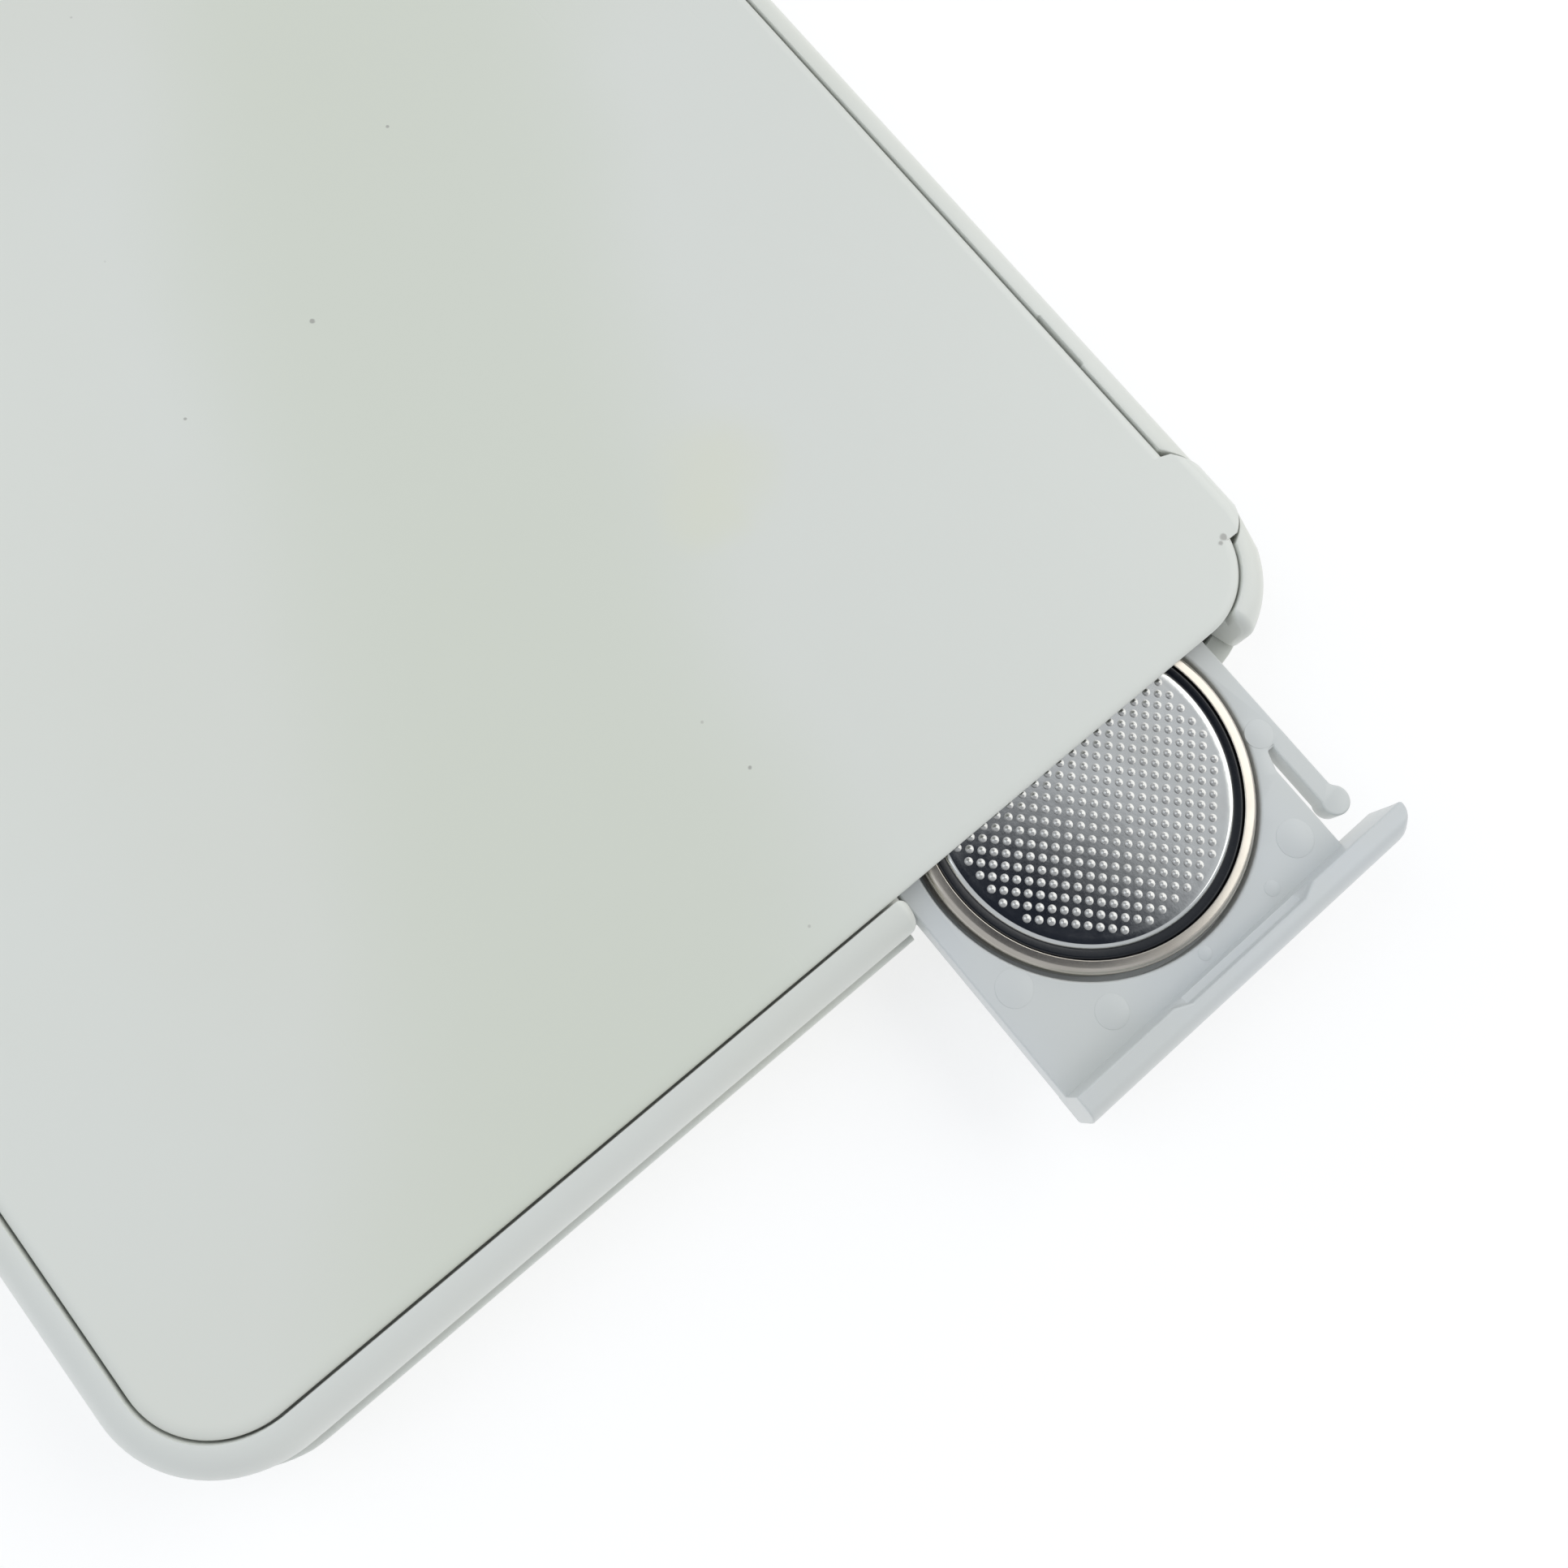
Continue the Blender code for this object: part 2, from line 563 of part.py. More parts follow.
def make_coin_cell():
    low = PLATE_Z[0] + CELL_LIP
    top = low + CELL_T
    at = (DRAWER_X, CELL_Y)
    can = [(0, low), (CELL_R - 0.3 * MM, low), (CELL_R, low + 0.3 * MM), (CELL_R, top - 0.5 * MM),
           (CELL_R - 0.15 * MM, top - 0.2 * MM), (CELL_R - 0.45 * MM, top - 0.08 * MM),
           (GASKET_R + 0.07 * MM, top - 0.1 * MM), (GASKET_R + 0.07 * MM, low + 0.25 * MM),
           (0, low + 0.25 * MM)]
    cell = [add_object("cell_can", turned(can, at, 48), "steel", True)]
    gasket = [(CAP_R + 0.07 * MM, low + 0.35 * MM), (GASKET_R, low + 0.35 * MM),
              (GASKET_R, top - 0.12 * MM), (CAP_R + 0.07 * MM, top - 0.06 * MM)]
    cell.append(add_object("cell_gasket", turned(gasket, at, 48), "black", True))
    cap = [(0, low + 0.35 * MM), (CAP_R, low + 0.35 * MM), (CAP_R, top - 0.25 * MM),
           (CAP_R - 0.25 * MM, top), (0, top)]
    cell.append(add_object("cell_cap", turned(cap, at, 48), "steel", True))
    return cell


def make_drawer_assembly():
    """The drawer and its cell on the slide's axis, and the latch finger on its own axis on the drawer."""
    slide_point = (DRAWER_X, FLANGE_IN, PLATE_Z[0])
    slide = hang_on_joint("drawer_slide_axis", slide_point, [make_battery_drawer(), *make_coin_cell()])
    latch_point = (DRAWER_RIGHT - FINGER_W / 2, FINGER_ROOT, (PLATE_Z[0] + PLATE_Z[1]) / 2)
    latch = hang_on_joint("latch_flex_axis", latch_point, [make_latch_finger()])
    latch.parent = slide
    latch.location = Vector(latch_point) - Vector(slide_point)


def make_contacts():
    y = CELL_Y_SHUT / MM
    over = [(y - 1.5, 5.4), (y - 0.6, 5.16), (y + 0.6, 5.16), (y + 1.6, 5.4), (-28.0, 5.4),
            (-27.4, 4.9), (-27.4, 3.2)]
    add_object("negative_contact", strip([(a * MM, b * MM) for a, b in over], 0.15 * MM,
                                         (DRAWER_X - 1.5 * MM, DRAWER_X + 1.5 * MM)), "bronze")
    under = [(y - 2.6, 1.7), (y - 0.7, 2.5), (y + 0.7, 2.5), (y + 6.0, 1.5), (-28.5, 1.5)]
    add_object("positive_contact", strip([(a * MM, b * MM) for a, b in under], 0.15 * MM,
                                         (11.0 * MM, 13.0 * MM)), "bronze")


# ---------------------------------------------------------------- display and electronics

def make_display():
    centre = (0.0, DISPLAY_Y)
    width, length, thick = WINDOW
    add_object("display_window", prism(rounded_rect(width, length, 1.4 * MM, centre, 4),
                                       HEIGHT - thick, HEIGHT), "smoked")
    frame = add_object("lcd_frame", prism(rounded_rect(LCD[0] + 3 * MM, LCD[1] + 3 * MM, MM, centre, 2),
                                          BOARD_Z[1] + CLEAR, 5.05 * MM), "white")
    cut(frame, box((-LCD[0] / 2 - CLEAR, LCD[0] / 2 + CLEAR),
                   (DISPLAY_Y - LCD[1] / 2 - CLEAR, DISPLAY_Y + LCD[1] / 2 + CLEAR), (0.0, HEIGHT)))
    add_object("lcd_glass", box((-LCD[0] / 2, LCD[0] / 2),
                                (DISPLAY_Y - LCD[1] / 2, DISPLAY_Y + LCD[1] / 2),
                                (3.75 * MM, 5.0 * MM)), "glass")
    strip_y = DISPLAY_Y - LCD[1] / 2 + MM
    add_object("zebra_strip", box((-13 * MM, 13 * MM), (strip_y, strip_y + 1.6 * MM),
                                  (BOARD_Z[1] + CLEAR, 3.6 * MM)), "black")


def make_board():
    board = add_object("circuit_board", box((-BOARD_X, BOARD_X), BOARD_Y, BOARD_Z), "board")
    cut(board, disc(0.8 * MM, (11 * MM, 16 * MM), 0.0, HEIGHT, 12))
    top = BOARD_Z[1] + 0.1 * MM
    add_object("main_chip", box((-3.5 * MM, 3.5 * MM), (17 * MM, 24 * MM), (top, top + 0.8 * MM)), "black")
    add_object("crystal", box((6 * MM, 11 * MM), (20 * MM, 22 * MM), (top, top + 0.7 * MM)), "steel")
    for number, x in enumerate((-10.0, -7.0), 1):
        add_object(f"capacitor_{number}", box((x * MM, (x + 1.6) * MM), (20 * MM, 20.8 * MM),
                                              (top, top + 0.6 * MM)), "gauge")


def make_unit_button():
    at = (0.0, BUTTON_Y)
    cap = [(0, 0.0), (BUTTON_R - 0.2 * MM, 0.0), (BUTTON_R, 0.2 * MM), (BUTTON_R, FLOOR_T + 0.1 * MM),
           (BUTTON_R + 0.9 * MM, FLOOR_T + 0.1 * MM), (BUTTON_R + 0.9 * MM, FLOOR_T + 0.3 * MM),
           (0, FLOOR_T + 0.3 * MM)]
    button = add_object("unit_button", turned(cap, at, 24), "white", True)
    hang_on_joint("unit_press_axis", (*at, 0.0), [button])
    dome = [(0, 1.8 * MM), (1.2 * MM, 1.84 * MM), (2.2 * MM, 2.0 * MM), (2.5 * MM, 2.12 * MM),
            (2.2 * MM, 2.12 * MM), (1.2 * MM, 1.96 * MM), (0, 1.92 * MM)]
    add_object("snap_dome", turned(dome, at, 20), "steel", True)


def make_leads():
    """Leads from the load cells and the contacts to the board, as knots in millimetres."""
    for side, near_lead, far_lead in ((-1, 1, 3), (1, 2, 4)):
        near = [(25, -34.6, 2.0), (24, -27, 1.8), (18, -8, 1.75), (8, 6, 2.2), (6, 11.6, 2.6)]
        far = [(22, 44, 2.85), (21, 36, 2.85), (20, 30.5, 2.7), (17, 27.5, 2.6), (14.7, 26.5, 2.6)]
        wire(f"load_cell_lead_{near_lead}", [(side * x, y, z) for x, y, z in near], LEAD_D, "red")
        wire(f"load_cell_lead_{far_lead}", [(side * x, y, z) for x, y, z in far], LEAD_D, "red")
    wire("battery_lead_negative", [(19.2, -26.6, 3.3), (14, -18, 2.2), (6, -4, 1.8), (3, 6, 2.2),
                                   (3, 11.6, 2.6)], BATTERY_LEAD_D, "black")
    wire("battery_lead_positive", [(12, -27.8, 1.9), (8, -20, 1.8), (1, -6, 1.75), (-1, 6, 2.2),
                                   (-1, 11.6, 2.6)], BATTERY_LEAD_D, "red")


def main():
    clear_scene()
    make_top_panel()
    make_casing_rim()
    make_base_shell()
    make_panel_tape()
    make_screws()
    make_feet()
    make_load_cells()
    make_drawer_assembly()
    make_contacts()
    make_display()
    make_board()
    make_unit_button()
    make_leads()


main()
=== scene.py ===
"""The finished look of a compact electronic scale with a coin-cell drawer.

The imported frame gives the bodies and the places. Each class below finishes one sub-assembly round
it: it holds its sizes as fields, builds its meshes and dresses them. Lengths are in metres, and MM
turns millimetres into them.
"""
from __future__ import annotations

import logging
import math
from collections.abc import Callable, Mapping, Sequence
from dataclasses import dataclass, field
from enum import Enum

import bmesh
import bpy
from mathutils import Matrix, Vector

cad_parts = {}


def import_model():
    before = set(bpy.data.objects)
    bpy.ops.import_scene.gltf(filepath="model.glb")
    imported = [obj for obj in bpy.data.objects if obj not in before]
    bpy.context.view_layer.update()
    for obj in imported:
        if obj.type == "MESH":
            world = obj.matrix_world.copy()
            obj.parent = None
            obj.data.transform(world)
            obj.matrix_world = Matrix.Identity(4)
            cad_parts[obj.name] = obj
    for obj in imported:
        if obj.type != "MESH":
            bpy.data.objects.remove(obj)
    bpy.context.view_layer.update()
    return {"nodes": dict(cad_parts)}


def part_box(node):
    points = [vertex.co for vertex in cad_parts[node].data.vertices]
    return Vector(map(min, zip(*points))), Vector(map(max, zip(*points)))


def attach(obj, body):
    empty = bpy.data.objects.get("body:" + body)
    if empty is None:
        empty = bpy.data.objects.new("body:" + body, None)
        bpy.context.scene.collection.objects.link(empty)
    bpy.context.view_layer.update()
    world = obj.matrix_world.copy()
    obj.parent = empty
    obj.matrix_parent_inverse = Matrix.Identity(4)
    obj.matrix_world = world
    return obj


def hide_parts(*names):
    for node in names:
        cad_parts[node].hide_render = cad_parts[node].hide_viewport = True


MM = 0.001
SHARP_ANGLE = math.radians(35)
PLASTIC_IOR = 1.49
QUARTER = math.pi / 2
LOG = logging.getLogger("scale")

Point = tuple[float, float]
Ring = list[Point]
Section = list[tuple[float, float]]
Levels = list[tuple[Ring, float]]
SolidRing = list[tuple[float, float, float]]
Colour = tuple[float, float, float]


class Slot(Enum):
    """The record's material slots, which each place names."""

    CASING = "casing_plastic"
    DRAWER = "drawer_plastic"
    BRIGHT_STEEL = "bright_steel"
    PLAIN_STEEL = "plain_steel"
    BLACK = "black_plastic"
    RUBBER = "foot_rubber"
    GLASS = "display_glass"
    SMOKED = "smoked_window"


class Join(Enum):
    """How one solid acts on another."""

    REMOVE = "DIFFERENCE"
    ADD = "UNION"


# ---------------------------------------------------------------- outlines and solids


def arc(centre: Point, radius: float, start: float, stop: float, steps: int) -> Ring:
    """Points along a circular arc, both ends included.

    Args:
        centre: the arc's centre.
        radius: its radius.
        start: first angle, in degrees.
        stop: last angle, in degrees.
        steps: number of chords.

    Returns:
        steps + 1 points.
    """
    turns = [math.radians(start + (stop - start) * k / steps) for k in range(steps + 1)]
    return [(centre[0] + radius * math.cos(a), centre[1] + radius * math.sin(a)) for a in turns]


def circle(centre: Point, radius: float, steps: int = 64, hole: bool = False) -> Ring:
    """A full circle, anticlockwise, or clockwise for a hole."""
    ring = arc(centre, radius, 0, 360, steps)[:-1]
    return ring[::-1] if hole else ring


def soften(corners: Sequence[tuple[float, float, float]], steps: int = 6, closed: bool = True) -> Ring:
    """Round each corner of a path with its own radius.

    Args:
        corners: (x, y, radius) of each corner.
        steps: chords in each rounded corner.
        closed: whether the last corner runs on to the first; the ends of an open path stay sharp.

    Returns:
        The softened path.
    """
    path: Ring = []
    count = len(corners)
    for i, (x, y, radius) in enumerate(corners):
        here = Vector((x, y))
        at_end = not closed and i in (0, count - 1)
        if radius <= 0 or at_end:
            path.append((x, y))
            continue
        back = (Vector(corners[i - 1][:2]) - here).normalized()
        ahead = (Vector(corners[(i + 1) % count][:2]) - here).normalized()
        half = back.angle(ahead) / 2
        middle = here + (back + ahead).normalized() * radius / math.sin(half)
        first = here + back * radius / math.tan(half) - middle
        last = here + ahead * radius / math.tan(half) - middle
        begin = math.atan2(first.y, first.x)
        turn = (math.atan2(last.y, last.x) - begin + math.pi) % (2 * math.pi) - math.pi
        for k in range(steps + 1):
            a = begin + turn * k / steps
            path.append((middle.x + radius * math.cos(a), middle.y + radius * math.sin(a)))
    return path


def rounded_rect(centre: Point, width: float, length: float, radius: float, steps: int = 8) -> Ring:
    """Anticlockwise rectangle with four equal round corners."""
    x, y = width / 2, length / 2
    corners = [(x, y), (-x, y), (-x, -y), (x, -y)]
    return soften([(centre[0] + a, centre[1] + b, radius) for a, b in corners], steps)


def inset_ring(ring: Ring, inset: float) -> Ring:
    """Move a closed path towards its left, which is into the material of an outline or a hole."""
    moved = []
    for i, point in enumerate(ring):
        here = Vector(point)
        before = (here - Vector(ring[i - 1])).normalized()
        after = (Vector(ring[(i + 1) % len(ring)]) - here).normalized()
        left = Vector((-before.y, before.x)) + Vector((-after.y, after.x))
        moved.append(tuple(here + left * inset / max(left.dot(left) / 2, 0.3)))
    return moved


def levels(ring: Ring, section: Section) -> Levels:
    """Rings of one path at each (inset, z) of a section."""
    return [(inset_ring(ring, inset), z) for inset, z in section]


def eased_flank(low: float, high: float, radius: float, steps: int = 3) -> Section:
    """(inset, z) of an upright flank whose lower and upper edges are rounded."""
    turns = [QUARTER * k / steps for k in range(steps + 1)]
    lower = [(radius * (1 - math.sin(a)), low + radius * (1 - math.cos(a))) for a in turns]
    upper = [(radius * (1 - math.cos(a)), high - radius * (1 - math.sin(a))) for a in turns]
    return lower + upper


def closed_mesh(work: bmesh.types.BMesh) -> bpy.types.Mesh:
    """Close a working mesh: faces out, doubles merged, and freed."""
    bmesh.ops.remove_doubles(work, verts=work.verts, dist=1e-7)
    bmesh.ops.dissolve_degenerate(work, edges=work.edges, dist=1e-8)
    bmesh.ops.recalc_face_normals(work, faces=work.faces)
    mesh = bpy.data.meshes.new("solid")
    work.to_mesh(mesh)
    work.free()
    return mesh


def plate(loops: Sequence[Levels]) -> bpy.types.Mesh:
    """A solid with flat lower and upper faces between an outline and any holes.

    Args:
        loops: the levels of each path from the lower face to the upper one; the first path is
            the outline, anticlockwise, and the others are holes, clockwise.

    Returns:
        The closed mesh.
    """
    work = bmesh.new()
    caps: tuple[list, list] = ([], [])
    for loop in loops:
        rows = [[work.verts.new((x, y, z)) for x, y in ring] for ring, z in loop]
        count = len(rows[0])
        for low, high in zip(rows, rows[1:]):
            for i in range(count):
                j = (i + 1) % count
                work.faces.new((low[i], low[j], high[j], high[i]))
        for cap, row in zip(caps, (rows[0], rows[-1])):
            cap += [work.edges.get((row[i], row[(i + 1) % count])) for i in range(count)]
    for cap in caps:
        bmesh.ops.triangle_fill(work, use_beauty=True, use_dissolve=False, edges=cap)
    return closed_mesh(work)


def loft(rings: Sequence[SolidRing]) -> bpy.types.Mesh:
    """Skin closed rings of equal count and cap both ends."""
    work = bmesh.new()
    rows = [[work.verts.new(p) for p in ring] for ring in rings]
    count = len(rows[0])
    for low, high in zip(rows, rows[1:]):
        for i in range(count):
            j = (i + 1) % count
            work.faces.new((low[i], low[j], high[j], high[i]))
    work.faces.new(rows[0][::-1])
    work.faces.new(rows[-1])
    return closed_mesh(work)


def turned(profile: Ring, centre: Point = (0.0, 0.0), steps: int = 96) -> bpy.types.Mesh:
    """Spin an (r, z) profile about +Z through centre; it ends on the axis or closes on itself."""
    work = bmesh.new()
    columns = []
    for r, z in profile:
        if r <= 0:
            columns.append([work.verts.new((centre[0], centre[1], z))] * steps)
            continue
        columns.append([work.verts.new((x, y, z)) for x, y in arc(centre, r, 0, 360, steps)[:-1]])
    pairs = list(zip(columns, columns[1:]))
    if profile[0][0] > 0:
        pairs.append((columns[-1], columns[0]))
    for low, high in pairs:
        for i in range(steps):
            j = (i + 1) % steps
            work.faces.new(list(dict.fromkeys((low[i], low[j], high[j], high[i]))))
    return closed_mesh(work)


def block(x: Point, y: Point, z: Point) -> bpy.types.Mesh:
    """A plain box from three (low, high) pairs, for use as a tool."""
    ring = [(x[0], y[0]), (x[1], y[0]), (x[1], y[1]), (x[0], y[1])]
    return plate([[(ring, z[0]), (ring, z[1])]])


def merged(meshes: Sequence[bpy.types.Mesh]) -> bpy.types.Mesh:
    """Several solids as one mesh."""
    work = bmesh.new()
    for mesh in meshes:
        work.from_mesh(mesh)
        bpy.data.meshes.remove(mesh)
    whole = bpy.data.meshes.new("merged")
    work.to_mesh(whole)
    work.free()
    return whole


def baked(obj: bpy.types.Object) -> bpy.types.Mesh:
    """The plain mesh of an object with its modifiers applied; the object is removed."""
    graph = bpy.context.evaluated_depsgraph_get()
    mesh = bpy.data.meshes.new_from_object(obj.evaluated_get(graph))
    bpy.data.objects.remove(obj)
    return mesh


def combine(target: bpy.types.Mesh, tool: bpy.types.Mesh, how: Join) -> bpy.types.Mesh:
    """Cut a closed solid from another, or weld it on."""
    pair = [bpy.data.objects.new(label, mesh) for label, mesh in (("target", target), ("tool", tool))]
    for obj in pair:
        bpy.context.scene.collection.objects.link(obj)
    step = pair[0].modifiers.new("combine", "BOOLEAN")
    step.operation = how.value
    step.solver = "MANIFOLD"
    step.object = pair[1]
    mesh = baked(pair[0])
    bpy.data.objects.remove(pair[1])
    return mesh


# ---------------------------------------------------------------- shader graphs


class Value:
    """A number in a shader graph; arithmetic on it adds Math nodes."""

    def __init__(self, graph: Graph, socket: bpy.types.NodeSocket) -> None:
        """Wrap one output socket."""
        self.graph = graph
        self.socket = socket

    def _math(self, operation: str, first: Operand, second: Operand = 0.0) -> Value:
        """Add a Math node on two operands."""
        return self.graph.value("ShaderNodeMath", {"operation": operation}, {0: first, 1: second})

    def __add__(self, other: Operand) -> Value:
        """self + other."""
        return self._math("ADD", self, other)

    def __radd__(self, other: Operand) -> Value:
        """other + self."""
        return self._math("ADD", other, self)

    def __sub__(self, other: Operand) -> Value:
        """self - other."""
        return self._math("SUBTRACT", self, other)

    def __rsub__(self, other: Operand) -> Value:
        """other - self."""
        return self._math("SUBTRACT", other, self)

    def __mul__(self, other: Operand) -> Value:
        """self * other."""
        return self._math("MULTIPLY", self, other)

    def __rmul__(self, other: Operand) -> Value:
        """other * self."""
        return self._math("MULTIPLY", other, self)

    def rise(self, low: float, high: float) -> Value:
        """Map low..high to a smooth 0..1; low may exceed high to turn the mask round."""
        lower, upper = min(low, high), max(low, high)
        mask = self.graph.value(
            "ShaderNodeMapRange", {"interpolation_type": "SMOOTHSTEP"},
            {"Value": self, "From Min": lower, "From Max": upper})
        return mask if low <= high else 1.0 - mask


Operand = Value | float


class Nodes:
    """A node tree that takes each node in one call."""

    def __init__(self, tree: bpy.types.NodeTree) -> None:
        """Take over a tree and empty it."""
        self.tree = tree
        tree.nodes.clear()

    def add(
        self, kind: str, settings: Mapping[str, object] | None = None,
        sockets: Mapping[str | int, object] | None = None,
    ) -> bpy.types.Node:
        """Add any node.

        Args:
            kind: the node's type.
            settings: its properties, set first; "stops" fills a colour ramp.
            sockets: its inputs by name or number, each a constant, a Value or an output socket.

        Returns:
            The node.
        """
        node = self.tree.nodes.new(kind)
        for name, setting in (settings or {}).items():
            if name == "stops":
                for element, (position, colour) in zip(node.color_ramp.elements, setting):
                    element.position = position
                    element.color = (*colour, 1.0)
            else:
                setattr(node, name, setting)
        for name, given in (sockets or {}).items():
            self.give(node.inputs[name], given)
        return node

    def give(self, socket: bpy.types.NodeSocket, given: object) -> None:
        """Link an input to a Value or an output socket, or set it to a constant."""
        given = given.socket if isinstance(given, Value) else given
        if isinstance(given, bpy.types.NodeSocket):
            self.tree.links.new(given, socket)
        else:
            socket.default_value = given


class Graph(Nodes):
    """The node graph of one material, round a Principled shader on Object coordinates."""

    def __init__(self, name: str) -> None:
        """Start a material with a shader, an output and a coordinate node."""
        self.material = bpy.data.materials.new(name)
        self.material.use_nodes = True
        super().__init__(self.material.node_tree)
        self.shader = self.add("ShaderNodeBsdfPrincipled")
        self.output = self.add("ShaderNodeOutputMaterial", sockets={"Surface": self.shader.outputs[0]})
        self.place = self.add("ShaderNodeTexCoord").outputs["Object"]

    def value(self, kind: str, settings: Mapping[str, object], sockets: Mapping) -> Value:
        """Add a node and wrap its first output as a number."""
        return Value(self, self.add(kind, settings, sockets).outputs[0])

    def stretched(self, scale: Sequence[float], turn: float = 0.0) -> bpy.types.NodeSocket:
        """Object coordinates turned about Z, in degrees, and then scaled."""
        turned_place = self.add("ShaderNodeMapping", {"vector_type": "POINT"}, {
            "Vector": self.place, "Rotation": (0, 0, math.radians(turn)), "Scale": tuple(scale)})
        return turned_place.outputs[0]

    def noise(
        self, size: float, seed: float = 0.0, detail: float = 2.0,
        place: bpy.types.NodeSocket | None = None,
    ) -> Value:
        """Soft noise from 0 to 1 whose features are about size metres wide."""
        return self.value("ShaderNodeTexNoise", {"noise_dimensions": "4D"}, {
            "Vector": place or self.place, "W": seed, "Scale": 1.0 / size, "Detail": detail})

    def specks(self, spacing: float, radius: float, share: float) -> Value:
        """Round specks, one in each kept cell of a scattered pattern; share is the part kept."""
        cells = self.add("ShaderNodeTexVoronoi", {"feature": "F1"}, {
            "Vector": self.place, "Scale": 1.0 / spacing, "Randomness": 1.0})
        near = Value(self, cells.outputs["Distance"]).rise(radius / spacing, 0.4 * radius / spacing)
        lot = self.value("ShaderNodeSeparateColor", {}, {"Color": cells.outputs["Color"]})
        return near * lot.rise(share, share - 0.01)

    def distance(self, point: Sequence[float]) -> Value:
        """Distance from a point of the piece."""
        return Value(self, self.add("ShaderNodeVectorMath", {"operation": "DISTANCE"}, {
            0: self.place, 1: tuple(point)}).outputs["Value"])

    def mix(self, factor: Operand, first: object, second: object) -> bpy.types.NodeSocket:
        """Blend two colours."""
        def colour(given: object) -> object:
            return (*given, 1.0) if isinstance(given, tuple) else given
        node = self.add("ShaderNodeMix", {"data_type": "RGBA"}, {
            0: factor, 6: colour(first), 7: colour(second)})
        return node.outputs[2]

    def bump(
        self, height: Operand, depth: float, onto: bpy.types.NodeSocket | None = None,
    ) -> bpy.types.NodeSocket:
        """A bumped normal; depth is in metres for a height of 1."""
        sockets: dict[str | int, object] = {"Height": height, "Distance": depth, "Strength": 1.0}
        if onto is not None:
            sockets["Normal"] = onto
        return self.add("ShaderNodeBump", sockets=sockets).outputs[0]

    def feed(self, **inputs: object) -> None:
        """Set or link the shader's own inputs, whose names have underscores for spaces."""
        for label, given in inputs.items():
            given = (*given, 1.0) if isinstance(given, tuple) else given
            self.give(self.shader.inputs[label.replace("_", " ")], given)


# ---------------------------------------------------------------- finishes


@dataclass(frozen=True)
class MouldedPlastic:
    """Satin white or coloured plastic with an uneven tone, fine grain, specks and hair scratches, and
    optionally painted shade patches and a painted dark reflection band.
    """

    name: str
    colour: Colour
    aged: Colour
    roughness: float = 0.33
    ageing: float = 0.5
    patch: float = 22 * MM
    grain: float = 0.3 * MM
    grain_depth: float = 0.0015 * MM
    speck_share: float = 0.0
    scratches: float = 0.0
    # painted shade: (x, y, radius, strength) of yellowish patches where the panel's soft reflections are
    # dimmer
    painted_shade_patches: tuple[tuple[float, float, float, float], ...] = ()
    marks: tuple[tuple[float, float, float], ...] = ()
    mark_height: float = 0.0
    # painted dark reflection: (x, y, angle, half width) of a darker greenish band
    painted_reflection_band: tuple[float, float, float, float] | None = None

    def make(self) -> bpy.types.Material:
        """Build the material."""
        g = Graph(self.name)
        tone = g.noise(self.patch, 1.0, 3.0).rise(0.35, 0.7)
        base = g.mix(tone * self.ageing, self.colour, self.aged)
        # painted dark reflection: a darker greenish band mixed into the base colour
        if self.painted_reflection_band is not None:
            x, y, angle, half = self.painted_reflection_band
            split = g.add("ShaderNodeSeparateXYZ", sockets={"Vector": g.stretched((1.0, 1.0, 1.0), -angle)})
            turned_y = y * math.cos(math.radians(angle)) - x * math.sin(math.radians(angle))
            off = Value(g, split.outputs["Y"]) - turned_y + (g.noise(40 * MM, 5.0, 2.0) - 0.5) * half
            squared = off * off
            painted_reflection_mask = squared.rise(half * half, 0.0)
            base = g.mix(painted_reflection_mask * 0.6, base, (0.655, 0.69, 0.585))
        fine = g.noise(2.5 * MM, 4.0, 4.0)
        base = g.mix((fine - 0.5) * 0.10, base, tuple(0.86 * c for c in self.aged))
        # painted shade: yellowish patches where the panel's soft reflections are dimmer
        for x, y, radius, strength in self.painted_shade_patches:
            ragged = (g.noise(6 * MM, 9.0, 3.0) - 0.5) * (1.2 * radius)
            spread = g.distance((x, y, self.mark_height)) + ragged
            base = g.mix(spread.rise(radius, 0.1 * radius) * strength, base, (0.73, 0.74, 0.61))
        for x, y, radius in self.marks:
            spot = g.distance((x, y, self.mark_height)) + (g.noise(0.4 * MM, 2.0) - 0.5) * radius
            base = g.mix(spot.rise(radius, 0.4 * radius) * 0.7, base, (0.32, 0.31, 0.29))
        if self.speck_share > 0:
            base = g.mix(g.specks(2.4 * MM, 0.12 * MM, self.speck_share) * 0.5, base, (0.42, 0.41, 0.38))
        rough = self.roughness + (g.noise(5 * MM, 7.0, 3.0) - 0.5) * 0.10
        height = g.noise(self.grain, 3.0, 3.0)
        normal = g.bump(height, self.grain_depth)
        if self.scratches > 0:
            hairs = self._hairs(g, 28.0, 11.0) + self._hairs(g, -52.0, 15.0)
            normal = g.bump(hairs, -0.004 * MM * self.scratches, normal)
            rough = rough + hairs * 0.12 * self.scratches
        g.feed(Base_Color=base, Roughness=rough, Normal=normal, IOR=PLASTIC_IOR)
        return g.material

    @staticmethod
    def _hairs(g: Graph, turn: float, seed: float) -> Value:
        """Sparse hairline scratches that run at one angle, from 0 to 1."""
        along = g.stretched((1.0, 0.035, 1.0), turn)
        lines = g.noise(0.35 * MM, seed, 0.0, along).rise(0.735, 0.78)
        return lines * g.noise(9 * MM, seed + 1.0).rise(0.55, 0.68)


